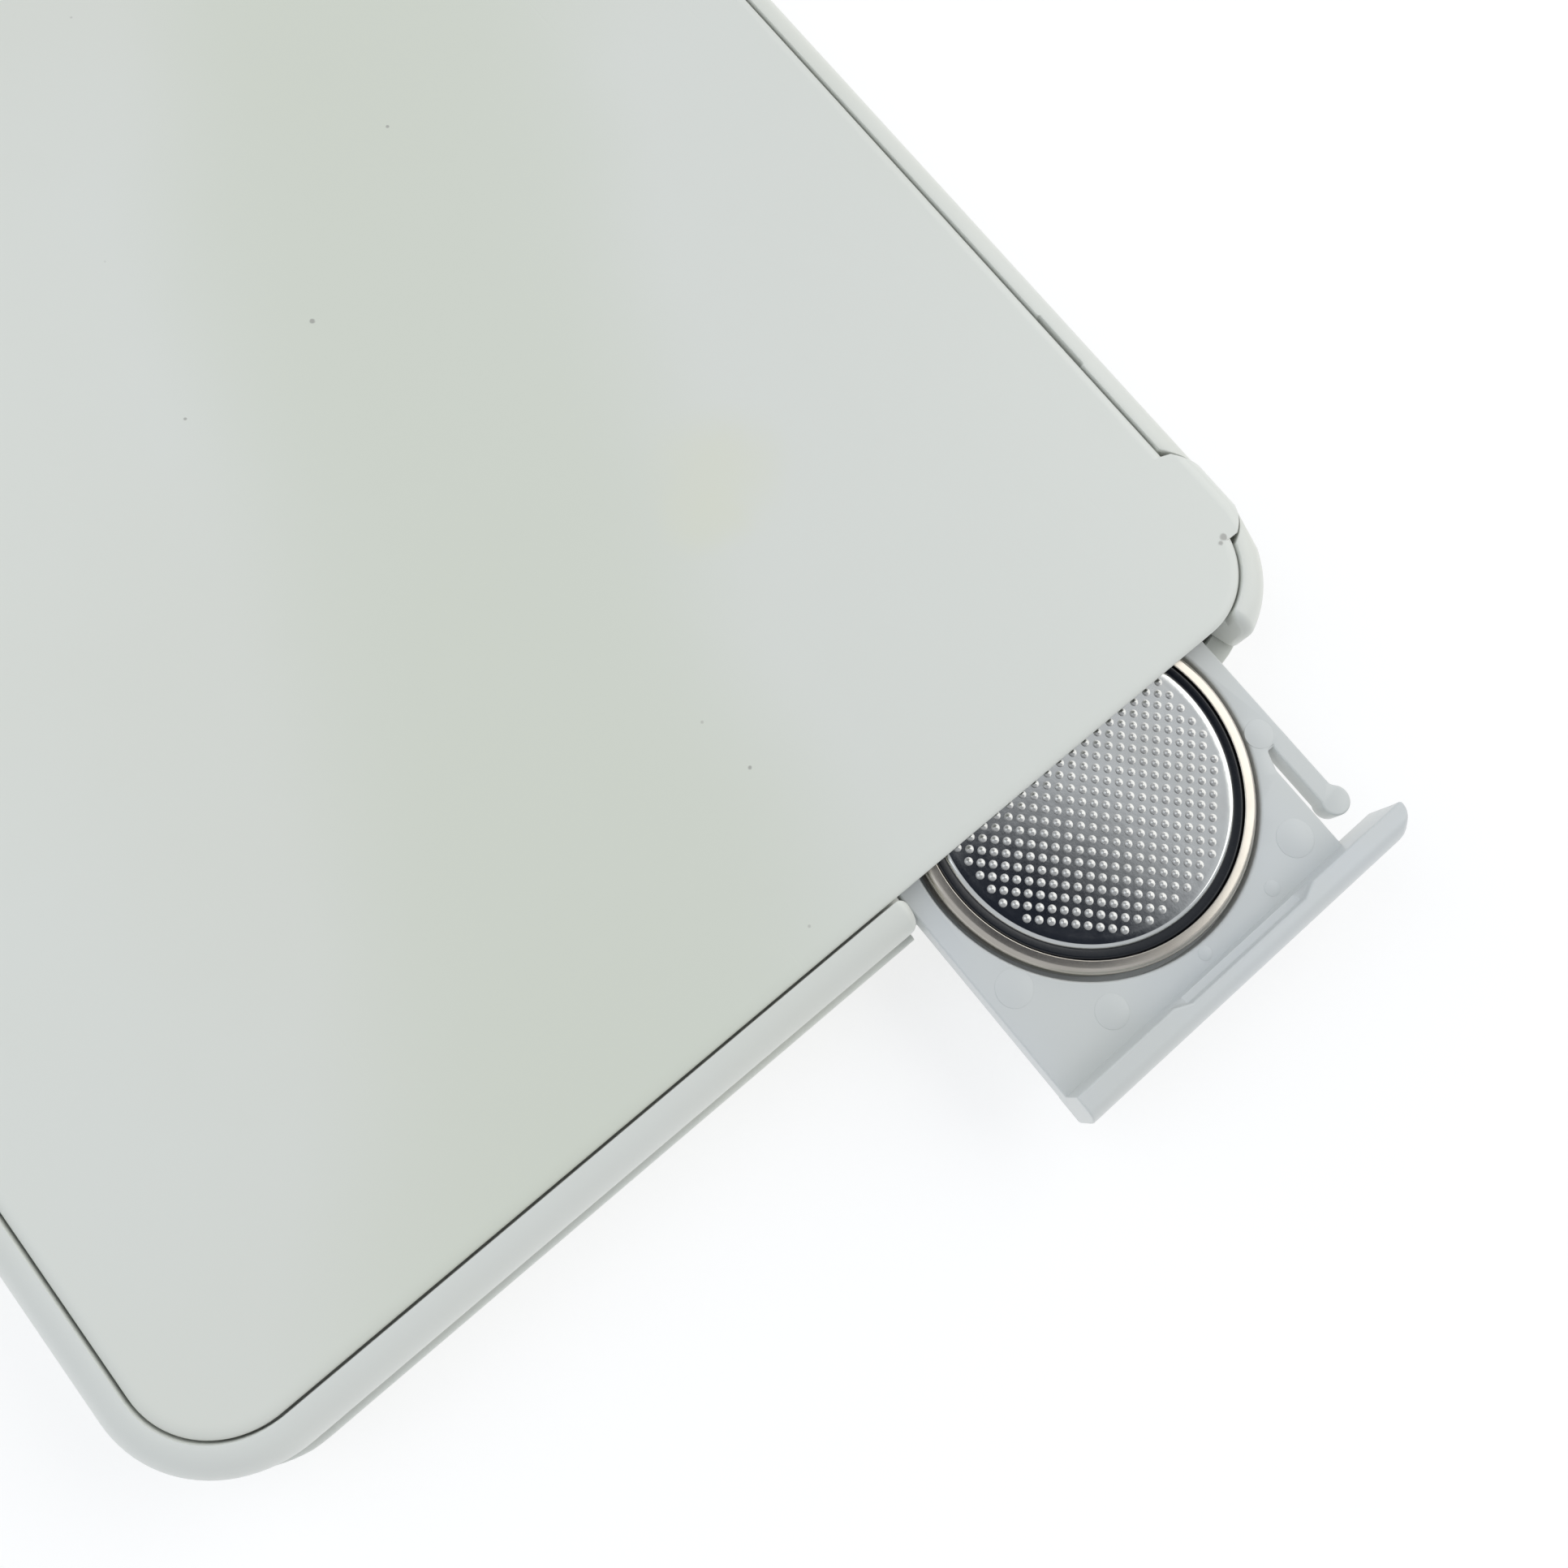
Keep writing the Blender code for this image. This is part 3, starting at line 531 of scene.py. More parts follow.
@dataclass(frozen=True)
class Metal:
    """Bare or plated metal with uneven polish and fine handling marks."""

    name: str
    colour: Colour
    tarnish: Colour
    roughness: float = 0.2
    spread: float = 0.1
    tarnish_share: float = 0.3
    waviness: float = 0.0
    brushed: bool = False

    def make(self) -> bpy.types.Material:
        """Build the material."""
        g = Graph(self.name)
        cloud = g.noise(3 * MM, 1.0, 4.0)
        base = g.mix(cloud.rise(0.45, 0.75) * self.tarnish_share, self.colour, self.tarnish)
        place = g.stretched((1.0, 0.04, 1.0), 20.0) if self.brushed else None
        grit = g.noise(0.12 * MM, 5.0, 3.0, place)
        rough = self.roughness + (cloud - 0.5) * self.spread + (grit - 0.5) * (0.4 * self.spread)
        normal = g.bump(grit, 0.0006 * MM)
        if self.waviness > 0:
            normal = g.bump(g.noise(0.9 * MM, 8.0, 2.0), self.waviness, normal)
        g.feed(Base_Color=base, Metallic=1.0, Roughness=rough, Normal=normal)
        return g.material


@dataclass(frozen=True)
class SoftSolid:
    """Rubber, foam, insulation or matt sheet: one colour with a cloudy bloom and a fine tooth."""

    name: str
    colour: Colour
    bloom: Colour
    roughness: float = 0.7
    tooth: float = 0.15 * MM
    depth: float = 0.006 * MM
    sheen: float = 0.0

    def make(self) -> bpy.types.Material:
        """Build the material."""
        g = Graph(self.name)
        cloud = g.noise(4 * MM, 2.0, 4.0)
        base = g.mix(cloud.rise(0.4, 0.8) * 0.5, self.colour, self.bloom)
        rough = self.roughness + (cloud - 0.5) * 0.15
        g.feed(Base_Color=base, Roughness=rough, Sheen_Weight=self.sheen,
               Normal=g.bump(g.noise(self.tooth, 6.0, 3.0), self.depth))
        return g.material


@dataclass(frozen=True)
class Laminate:
    """Circuit-board laminate: green mask over copper tracks, with a faint glass weave."""

    name: str
    mask: Colour = (0.03, 0.20, 0.09)
    track: Colour = (0.07, 0.33, 0.16)

    def make(self) -> bpy.types.Material:
        """Build the material."""
        g = Graph(self.name)
        wave = g.value("ShaderNodeTexBrick", {"offset": 0.37, "squash": 1.0}, {
            "Vector": g.place, "Scale": 260.0, "Mortar Size": 0.11, "Color1": (0, 0, 0, 1),
            "Color2": (0, 0, 0, 1), "Mortar": (1, 1, 1, 1), "Mortar Smooth": 0.1})
        base = g.mix(wave, self.mask, self.track)
        weave = g.noise(0.25 * MM, 3.0, 1.0, g.stretched((1.0, 0.2, 1.0)))
        height = wave * 0.8 + weave * 0.2
        g.feed(Base_Color=base, Roughness=0.35 + (weave - 0.5) * 0.1, Normal=g.bump(height, 0.02 * MM))
        return g.material


@dataclass(frozen=True)
class WindowPane:
    """Smoked pane: a dark printed border round a clearer field."""

    name: str
    centre: Point
    field_width: float
    field_length: float
    border: Colour = (0.012, 0.013, 0.015)
    smoke: Colour = (0.05, 0.055, 0.055)
    clear: float = 0.22

    def make(self) -> bpy.types.Material:
        """Build the material."""
        g = Graph(self.name)
        split = g.add("ShaderNodeSeparateXYZ", sockets={"Vector": g.place})
        across = Value(g, split.outputs["X"]) - self.centre[0]
        along = Value(g, split.outputs["Y"]) - self.centre[1]
        edge = 0.05 * MM
        inside_x = self._size(g, across).rise(self.field_width / 2 + edge, self.field_width / 2 - edge)
        inside_y = self._size(g, along).rise(self.field_length / 2 + edge, self.field_length / 2 - edge)
        inside = inside_x * inside_y
        dust = g.noise(0.6 * MM, 4.0, 4.0)
        g.feed(Base_Color=g.mix(inside, self.border, self.smoke), Alpha=1.0 - inside * (1.0 - self.clear),
               Roughness=0.06 + dust * 0.06, Normal=g.bump(g.noise(8 * MM, 2.0), 0.01 * MM))
        return g.material

    @staticmethod
    def _size(g: Graph, number: Value) -> Value:
        """The number without its sign."""
        return g.value("ShaderNodeMath", {"operation": "ABSOLUTE"}, {0: number})


class Finishes:
    """Every finish of the scale, made on first use."""

    def __init__(self, window_centre: Point, window_field: Point) -> None:
        """Set out the finishes; the window's printed field needs its place."""
        white = (0.735, 0.750, 0.705)
        aged = (0.715, 0.725, 0.655)
        self._kinds = {
            "panel": MouldedPlastic(
                "panel_plastic", white, aged, roughness=0.30, ageing=0.55, patch=30 * MM,
                speck_share=0.05, scratches=0.6, mark_height=6.4 * MM,
                # painted dark reflection band across the panel's middle
                painted_reflection_band=(3.9 * MM, -30.0 * MM, 65.0, 17.0 * MM),
                # painted shade: yellowish patches where the soft reflections are dimmer
                painted_shade_patches=((14.6 * MM, -36.6 * MM, 5.0 * MM, 0.5), (11.9 * MM, -38.6 * MM, 3.0 * MM, 0.4)),
                marks=((12.78 * MM, -8.40 * MM, 0.14 * MM), (2.22 * MM, -16.19 * MM, 0.2 * MM),
                       (-6.55 * MM, -17.05 * MM, 0.12 * MM), (5.33 * MM, -51.04 * MM, 0.14 * MM),
                       (35.0 * MM, -57.4 * MM, 0.28 * MM), (34.6 * MM, -57.6 * MM, 0.2 * MM))),
            "rim": MouldedPlastic("rim_plastic", (0.72, 0.735, 0.70), aged, roughness=0.36, ageing=0.6,
                                  speck_share=0.03, grain_depth=0.003 * MM),
            "base": MouldedPlastic("base_plastic", (0.70, 0.72, 0.68), aged, roughness=0.42, ageing=0.6,
                                   speck_share=0.03, grain_depth=0.006 * MM),
            # painted shade: the drawer is the casing's plastic, given a darker, cooler colour for the shade
            # its lowered plate lies in
            "drawer": MouldedPlastic("drawer_plastic", (0.635, 0.66, 0.67), (0.64, 0.65, 0.61),
                                     roughness=0.30, ageing=0.5, patch=12 * MM, grain_depth=0.002 * MM),
            "key": MouldedPlastic("key_plastic", (0.62, 0.64, 0.64), aged, roughness=0.4),
            "lcd_frame": MouldedPlastic("frame_plastic", (0.75, 0.75, 0.73), aged, roughness=0.45),
            "nickel": Metal("nickel_plate", (0.72, 0.73, 0.72), (0.55, 0.55, 0.52), roughness=0.09,
                            spread=0.12, waviness=0.004 * MM),
            # painted shade: the dots are the cap's own nickel, made darker so their reflections look dim
            "dots": Metal("pressed_dots", (0.52, 0.52, 0.51), (0.40, 0.40, 0.39), roughness=0.30),
            "can": Metal("steel_can", (0.60, 0.56, 0.50), (0.40, 0.36, 0.31), roughness=0.24, spread=0.14),
            "steel": Metal("plain_steel", (0.58, 0.58, 0.57), (0.42, 0.41, 0.40), roughness=0.32,
                           brushed=True),
            "zinc": Metal("zinc_plated_steel", (0.66, 0.67, 0.68), (0.50, 0.50, 0.47), roughness=0.28),
            "bronze": Metal("spring_bronze", (0.78, 0.55, 0.30), (0.55, 0.36, 0.20), roughness=0.25,
                            brushed=True),
            "seal": MouldedPlastic("seal_plastic", (0.004, 0.006, 0.010), (0.010, 0.012, 0.016),
                                   roughness=0.2, grain_depth=0.004 * MM),
            "black": SoftSolid("black_compound", (0.015, 0.015, 0.017), (0.04, 0.04, 0.042), roughness=0.5),
            "rubber": SoftSolid("foot_rubber", (0.035, 0.035, 0.037), (0.09, 0.09, 0.09), roughness=0.78,
                                sheen=0.2),
            "tape": SoftSolid("foam_tape", (0.10, 0.10, 0.10), (0.16, 0.16, 0.16), roughness=0.9,
                              depth=0.02 * MM),
            "red": SoftSolid("red_insulation", (0.45, 0.03, 0.02), (0.60, 0.08, 0.05), roughness=0.4),
            "ceramic": SoftSolid("ceramic", (0.55, 0.36, 0.16), (0.66, 0.46, 0.24), roughness=0.5),
            "foil": SoftSolid("gauge_foil", (0.72, 0.45, 0.12), (0.85, 0.60, 0.22), roughness=0.3),
            "laminate": Laminate("board_laminate"),
            "window": WindowPane("smoked_window", window_centre, *window_field),
            "lcd": MouldedPlastic("liquid_crystal_glass", (0.42, 0.47, 0.38), (0.38, 0.43, 0.33),
                                  roughness=0.12, grain_depth=0.0),
            "segment": SoftSolid("resting_segment", (0.30, 0.34, 0.27), (0.33, 0.37, 0.30), roughness=0.3),
        }
        self._made: dict[str, bpy.types.Material] = {}

    def __getitem__(self, key: str) -> bpy.types.Material:
        """The material of that key."""
        if key not in self._made:
            self._made[key] = self._kinds[key].make()
        return self._made[key]


# ---------------------------------------------------------------- putting pieces in the frame


@dataclass(frozen=True)
class Place:
    """Where a finished piece belongs: its body, its record slot and the nodes it stands for."""

    body: str
    slot: Slot
    stands_for: tuple[str, ...] = ()


def finish_piece(
    name: str, mesh: bpy.types.Mesh, material: bpy.types.Material, place: Place,
) -> None:
    """Dress a mesh, shade it and set it in the frame.

    Args:
        name: the piece's name.
        mesh: its mesh, in place.
        material: its finish.
        place: where it belongs.
    """
    mesh.name = name
    mesh.materials.clear()
    mesh.materials.append(material)
    mesh.shade_smooth()
    mesh.set_sharp_from_angle(angle=SHARP_ANGLE)
    piece = bpy.data.objects.new(name, mesh)
    bpy.context.scene.collection.objects.link(piece)
    even = piece.modifiers.new("even_normals", "WEIGHTED_NORMAL")
    even.keep_sharp = True
    even.weight = 80
    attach(piece, place.body)
    if place.stands_for:
        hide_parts(*place.stands_for)
    LOG.info("%s: %d faces on %s", name, len(mesh.polygons), place.body)


def repaint(
    nodes: Mapping[str, bpy.types.Object], names: Sequence[str], material: bpy.types.Material,
) -> None:
    """Give carried-over solids their finish."""
    for name in names:
        mesh = nodes[name].data
        mesh.materials.clear()
        mesh.materials.append(material)
        LOG.info("%s: repainted as %s", name, material.name)


# ---------------------------------------------------------------- the slab's path


@dataclass(frozen=True)
class SlabPath:
    """The slab's outline, walked anticlockwise from the start of the near right corner.

    Distances along it are measured on the outermost outline, and an inset leads inwards from it.
    """

    half_width: float
    half_length: float
    radius: float

    @property
    def corner(self) -> float:
        """Length of one corner."""
        return QUARTER * self.radius

    @property
    def side(self) -> float:
        """Length of a long straight side."""
        return 2 * (self.half_length - self.radius)

    @property
    def end(self) -> float:
        """Length of a short straight side."""
        return 2 * (self.half_width - self.radius)

    @property
    def total(self) -> float:
        """The whole way round."""
        return 4 * self.corner + 2 * self.side + 2 * self.end

    def at(self, distance: float, inset: float) -> Point:
        """The point at that distance and inset."""
        cx, cy = self.half_width - self.radius, self.half_length - self.radius
        left = distance % self.total
        reach = self.radius - inset
        for turn, (x, y), run in ((-90, (cx, -cy), self.side), (0, (cx, cy), self.end),
                                  (90, (-cx, cy), self.side), (180, (-cx, -cy), self.end)):
            if left < self.corner:
                a = math.radians(turn) + left / self.radius
                return x + reach * math.cos(a), y + reach * math.sin(a)
            left -= self.corner
            a = math.radians(turn + 90)
            if left <= run:
                ahead = (-math.sin(a), math.cos(a))
                return (x + reach * math.cos(a) + left * ahead[0],
                        y + reach * math.sin(a) + left * ahead[1])
            left -= run
        raise ValueError("a distance is taken round the path, so it never runs off the end")

    def right_side(self, y: float) -> float:
        """Distance of a point of the right side, by its y."""
        return self.corner + y + self.half_length - self.radius

    def near_side(self, x: float) -> float:
        """Distance of a point of the near side, by its x."""
        return self.total - self.end + x + self.half_width - self.radius

    def near_corner(self, x: float) -> float:
        """Distance of a point of the near right corner, by its x on the outermost outline."""
        across = (x - self.half_width + self.radius) / self.radius
        return self.radius * (QUARTER - math.acos(across))

    def ring(self, inset: float, steps: int = 24) -> Ring:
        """The closed outline at an inset, anticlockwise."""
        return rounded_rect((0.0, 0.0), 2 * (self.half_width - inset), 2 * (self.half_length - inset),
                            self.radius - inset, steps)

    def stations(self, start: float, stop: float, steps: int = 24) -> list[float]:
        """Distances from start to stop, close together in the corners only."""
        marks = {start, stop}
        lead = 0.0
        while lead < stop:
            for run in (self.side, self.end):
                marks.update(lead + self.corner * k / steps for k in range(steps + 1))
                lead += self.corner + run
        return sorted(m for m in marks if start <= m <= stop)


# ---------------------------------------------------------------- casing


@dataclass
class Casing:
    """Panel, rim and base shell, with the screws that hold them together."""

    path: SlabPath
    top: float
    rim_low: float
    rim_width: float = 1.9 * MM
    seam_half: float = 0.07 * MM
    ledge_width: float = 1.3 * MM
    ledge_top: float = 4.9 * MM
    panel_low: float = 5.2 * MM
    panel_edge: Point = (0.7 * MM, 0.3 * MM)
    end_round: float = 0.6 * MM
    mouth: Point = (7.35 * MM, 32.75 * MM)
    sill: float = 2.6 * MM
    tab_seam: Point = (-58.0 * MM, -51.3 * MM)
    tab_outer: Point = (-56.5 * MM, -53.1 * MM)
    groove: float = 0.18 * MM
    slit: Point = (-44.4 * MM, -40.6 * MM)
    slit_depth: float = 0.11 * MM
    skirt: Point = (-34.5 * MM, 7.15 * MM)
    skirt_out: float = 0.45 * MM
    floor: float = 1.2 * MM
    window: Point = (38.3 * MM, 18.3 * MM)
    window_centre: Point = (0.0, 42.0 * MM)
    window_depth: float = 0.95 * MM
    screws: Sequence[Point] = ()
    screw_head: float = 1.6 * MM
    feet: Sequence[Point] = ()
    foot_radius: float = 7.0 * MM
    key: Point = (0.0, 26.0 * MM)

    # -- rim

    def rim_section(self, shrink: float, widen: float = 0.0) -> Section:
        """Closed (inset, z) section of the rim.

        Args:
            shrink: how far the whole section draws in, to round off an end.
            widen: how far the seam's wall stands back, at the slit.

        Returns:
            The section, with the same number of points whatever it is given.
        """
        width = self.rim_width - self.seam_half
        crown = self.top - 0.06 * MM
        shoulder = crown - width
        wall = width - shrink - widen
        lip = 0.12 * MM
        reach = width - shrink
        edge = math.acos(min(1.0, max(0.0, (width - wall + lip) / reach)))
        low = self.rim_low + 0.3 * shrink
        ledge = self.ledge_top - 0.3 * shrink
        points = [(shrink + 0.12 * MM, low), (shrink + 0.03 * MM, low + 0.04 * MM),
                  (shrink, low + 0.13 * MM)]
        for k in range(17):
            a = edge * k / 16
            points.append((width - reach * math.cos(a), shoulder + reach * math.sin(a)))
        drop = points[-1][1]
        points += [(wall - 0.3 * lip, drop - 0.08 * lip), (wall, drop - 0.7 * lip)]
        inner = self.rim_width + self.ledge_width - shrink
        shelf = min(ledge, drop - lip)
        points += [(wall, shelf), (inner - 0.1 * MM, shelf), (inner, shelf - 0.1 * MM), (inner, low)]
        return points

    def rim_ring(self, distance: Callable[[float], float], section: Section) -> SolidRing:
        """One ring of the rim; the distance may depend on the inset, for a slanted end."""
        return [(*self.path.at(distance(inset), inset), z) for inset, z in section]

    def tab_end(self, far: bool, gap: float) -> Callable[[float], float]:
        """Distance along the path of one end of the tab, as a function of the inset."""
        index = 1 if far else 0
        sign = 1.0 if far else -1.0
        outer = self.path.right_side(self.tab_outer[index]) + sign * gap
        if far:
            seam = self.path.right_side(self.tab_seam[index]) + gap
        else:
            turn = math.asin((self.tab_seam[index] + self.path.half_length - self.path.radius)
                             / (self.path.radius - self.rim_width))
            seam = self.path.corner + self.path.radius * turn - gap
        flat = 0.35 * MM

        def distance(inset: float) -> float:
            """The end's distance at one inset."""
            share = min(1.0, max(0.0, (inset - flat) / (self.rim_width - flat)))
            return outer + (seam - outer) * share
        return distance

    def make_rim(self) -> bpy.types.Mesh:
        """The rim, open at the drawer's mouth, broken at the tab and set back at the slit."""
        start, stop = self.path.near_corner(self.mouth[1]), self.path.near_side(self.mouth[0])
        turns = [QUARTER * k / 14 for k in range(15)]
        rings = [self.rim_ring(lambda _, d=start + self.end_round * (1 - math.cos(a)): d,
                               self.rim_section(self.end_round * (1 - math.sin(a)))) for a in turns]
        low_end, high_end = self.tab_end(False, self.groove), self.tab_end(True, self.groove)
        before, after = low_end(0.0), high_end(self.rim_width)
        ends = [self._break(low_end, -1.0), self._break(high_end, 1.0)]
        last = min(low_end(self.rim_width), before) - 0.4 * MM
        for d in self.path.stations(start + self.end_round + 0.2 * MM, last):
            rings.append(self.rim_ring(lambda _, d=d: d, self.rim_section(0.0)))
        rings += ends[0] + ends[1][::-1]
        for d in self._rest_of_rim(after + 0.5 * MM, stop - self.end_round - 0.2 * MM):
            rings.append(self.rim_ring(lambda _, d=d[0]: d, self.rim_section(0.0, d[1])))
        rings += [self.rim_ring(lambda _, d=stop - self.end_round * (1 - math.cos(a)): d,
                                self.rim_section(self.end_round * (1 - math.sin(a)))) for a in turns[::-1]]
        return loft(rings)

    def _break(self, end: Callable[[float], float], way: float) -> list[SolidRing]:
        """Rings at one end of the break: full section, eased edge, then only the part under the tab."""
        ease = 0.12 * MM
        floor = self.ledge_top - 0.2 * MM
        rings = [self.rim_ring(lambda i: end(i) + way * ease, self.rim_section(0.0))]
        for k in range(1, 5):
            a = QUARTER * k / 4
            back = ease * (1 - math.sin(a))
            rings.append(self.rim_ring(lambda i, b=back: end(i) + way * b,
                                       self.rim_section(ease * (1 - math.cos(a)))))
        rings.append(self.rim_ring(end, [(i, min(z, floor)) for i, z in self.rim_section(0.0)]))
        return rings

    def _rest_of_rim(self, start: float, stop: float) -> list[tuple[float, float]]:
        """(distance, set-back) of the rim beyond the tab, with the slit beside the panel."""
        low, high = (self.path.right_side(y) for y in self.slit)
        step = 0.12 * MM
        marks = [(low - step, 0.0), (low, 1.0), (high, 1.0), (high + step, 0.0)]
        plain = [(d, 0.0) for d in self.path.stations(start, stop) if not low - step <= d <= high + step]
        return sorted(plain + [(d, share * self.slit_depth) for d, share in marks])

    # -- panel

    def make_panel(self) -> bpy.types.Mesh:
        """The platform panel with its softly rounded edge, its tab and the window's recess."""
        outline = self.path.ring(self.rim_width + self.seam_half)
        across, down = self.panel_edge
        turns = [QUARTER * k / 10 for k in range(11)]
        section = [(0.25 * MM, self.panel_low), (0.05 * MM, self.panel_low + 0.06 * MM)]
        section += [(across * (1 - math.cos(a)), self.top - down * (1 - math.sin(a))) for a in turns]
        width, length = self.window
        shelf = self.top - self.window_depth
        inner = rounded_rect(self.window_centre, width - 4.3 * MM, length - 4.3 * MM, 1.0 * MM)[::-1]
        outer = rounded_rect(self.window_centre, width, length, 1.5 * MM)[::-1]
        recess = [(inner, self.panel_low), (inner, shelf), (outer, shelf), (outer, self.top - 0.1 * MM),
                  (inset_ring(outer, 0.03 * MM), self.top - 0.03 * MM),
                  (inset_ring(outer, 0.1 * MM), self.top)]
        panel = plate([levels(outline, section), recess])
        return combine(panel, self._tab(), Join.ADD)

    def _tab(self) -> bpy.types.Mesh:
        """The panel's tab, which carries the rim's round section across the break."""
        low_end, high_end = self.tab_end(False, 0.0), self.tab_end(True, 0.0)
        ease = 0.12 * MM
        rings = []
        for k in range(5):
            a = QUARTER * k / 4
            rings.append(self.rim_ring(lambda i, b=ease * (1 - math.cos(a)): low_end(i) + b,
                                       self._tab_section(ease * (1 - math.sin(a)))))
        for share in (0.25, 0.5, 0.75):
            rings.append(self.rim_ring(lambda i, s=share: low_end(i) * (1 - s) + high_end(i) * s,
                                       self._tab_section(0.0)))
        for k in range(4, -1, -1):
            a = QUARTER * k / 4
            rings.append(self.rim_ring(lambda i, b=ease * (1 - math.cos(a)): high_end(i) - b,
                                       self._tab_section(ease * (1 - math.sin(a)))))
        return loft(rings)

    def _tab_section(self, shrink: float) -> Section:
        """Closed (inset, z) section of the tab, from its lower outer edge up and inwards."""
        reach = 1.5 * MM
        shoulder = self.top - 1.6 * MM
        rise = self.top - shoulder - shrink
        low = self.ledge_top
        first = math.asin((low - shoulder) / rise)
        points = []
        for k in range(15):
            a = first + (QUARTER - first) * k / 14
            points.append((reach - (reach - shrink) * math.cos(a), shoulder + rise * math.sin(a)))
        inner = self.rim_width + 0.9 * MM
        return points + [(inner, self.top - shrink), (inner, low)]

    # -- base shell

    def make_base(self) -> bpy.types.Mesh:
        """The base shell: a shallow tray with its recesses, walls, bosses and near skirt."""
        high = self.rim_low - 0.2 * MM
        turns = [QUARTER * k / 8 for k in range(9)]
        section = [(0.1 * MM + 1.1 * MM * (1 - math.sin(a)), 1.0 * MM * (1 - math.cos(a))) for a in turns]
        section += [(0.1 * MM, high - 0.1 * MM), (0.13 * MM, high - 0.03 * MM), (0.2 * MM, high),
                    (1.5 * MM, high), (1.6 * MM, high - 0.1 * MM), (1.6 * MM, self.floor)]
        loops = [levels(self.path.ring(0.0), section)]
        loops += [self._sunk_hole(c, self.screw_head + 0.2 * MM, 0.85 * MM, 0.95 * MM, 32)
                  for c in self.screws]
        loops += [self._sunk_hole(c, self.foot_radius + 0.3 * MM, 0.45 * MM, 3.4 * MM, 72)
                  for c in self.feet]
        loops.append(self._sunk_hole(self.key, 4.5 * MM, 0.3 * MM, 2.8 * MM, 64))
        base = plate(loops)
        gap = 0.3 * MM
        near = -self.path.half_length
        base = combine(base, block((self.mouth[0] - gap, self.mouth[1] + gap), (near - MM, near + 3.4 * MM),
                                   (self.sill, self.top)), Join.REMOVE)
        base = combine(base, merged(self._inner_walls()), Join.ADD)
        return combine(base, self._skirt(), Join.ADD)

    def _sunk_hole(self, centre: Point, wide: float, depth: float, bore: float, steps: int) -> Levels:
        """Levels of a round hole with a wider recess below and an eased mouth."""
        section = [(wide + 0.08 * MM, 0.0), (wide + 0.02 * MM, 0.03 * MM), (wide, 0.09 * MM),
                   (wide, depth), (bore, depth), (bore, self.floor)]
        return [(circle(centre, r, steps, hole=True), z) for r, z in section]

    def _inner_walls(self) -> list[bpy.types.Mesh]:
        """Drawer guides and screw posts that stand on the floor."""
        low = self.floor - 0.2 * MM
        near = -self.path.half_length + 3.3 * MM
        walls = [block((6.3 * MM, 7.3 * MM), (near, -31 * MM), (low, 4.5 * MM)),
                 block((31.7 * MM, 32.7 * MM), (near, -56 * MM), (low, 4.5 * MM)),
                 block((31.7 * MM, 32.7 * MM), (-34 * MM, -31 * MM), (low, 4.5 * MM))]
        post = [(0.95 * MM, low), (2.3 * MM, low), (2.3 * MM, 2.5 * MM), (0.95 * MM, 2.5 * MM)]
        return walls + [turned(post, centre, 32) for centre in self.screws]

    def _skirt(self) -> bpy.types.Mesh:
        """The strip that stands out below the rim along the near side, with rounded ends."""
        high = self.rim_low - 0.35 * MM
        start = self.path.total - self.path.end - self.path.corner * 0.36
        stop = self.path.near_side(self.skirt[1])
        ease = 0.3 * MM
        stations = [(start + ease * (1 - math.cos(a)), 1 - math.sin(a)) for a in
                    (QUARTER * k / 6 for k in range(7))]
        stations += [(d, 0.0) for d in self.path.stations(start + 2 * ease, stop - 0.1 * MM)]
        stations.append((stop, 0.0))
        rings = []
        for d, share in stations:
            out = -self.skirt_out + share * ease
            lead = min(1.0, (d - start) / (3 * MM))
            out = out * (0.55 + 0.45 * lead)
            section = [(0.4 * MM, 0.5 * MM), (out + 0.35 * MM, 0.45 * MM), (out + 0.05 * MM, 0.75 * MM),
                       (out, 1.0 * MM), (out, high - 0.22 * MM), (out + 0.04 * MM, high - 0.1 * MM),
                       (out + 0.12 * MM, high - 0.03 * MM), (out + 0.25 * MM, high), (0.4 * MM, high)]
            rings.append(self.rim_ring(lambda _, d=d: d, section))
        return loft(rings)

    def build(self, finishes: Finishes, screw_nodes: Sequence[str]) -> None:
        """Make and place the casing's pieces."""
        finish_piece("platform_panel", self.make_panel(), finishes["panel"],
                     Place("casing", Slot.CASING, ("top_panel",)))
        finish_piece("rounded_rim", self.make_rim(), finishes["rim"],
                     Place("casing", Slot.CASING, ("casing_rim",)))
        finish_piece("lower_shell", self.make_base(), finishes["base"],
                     Place("casing", Slot.CASING, ("base_shell",)))
        screws = ScrewRow(self.screws, self.screw_head).make(finishes["zinc"])
        finish_piece("casing_screws", screws, finishes["zinc"],
                     Place("casing", Slot.PLAIN_STEEL, tuple(screw_nodes)))


# ---------------------------------------------------------------- geometry nodes


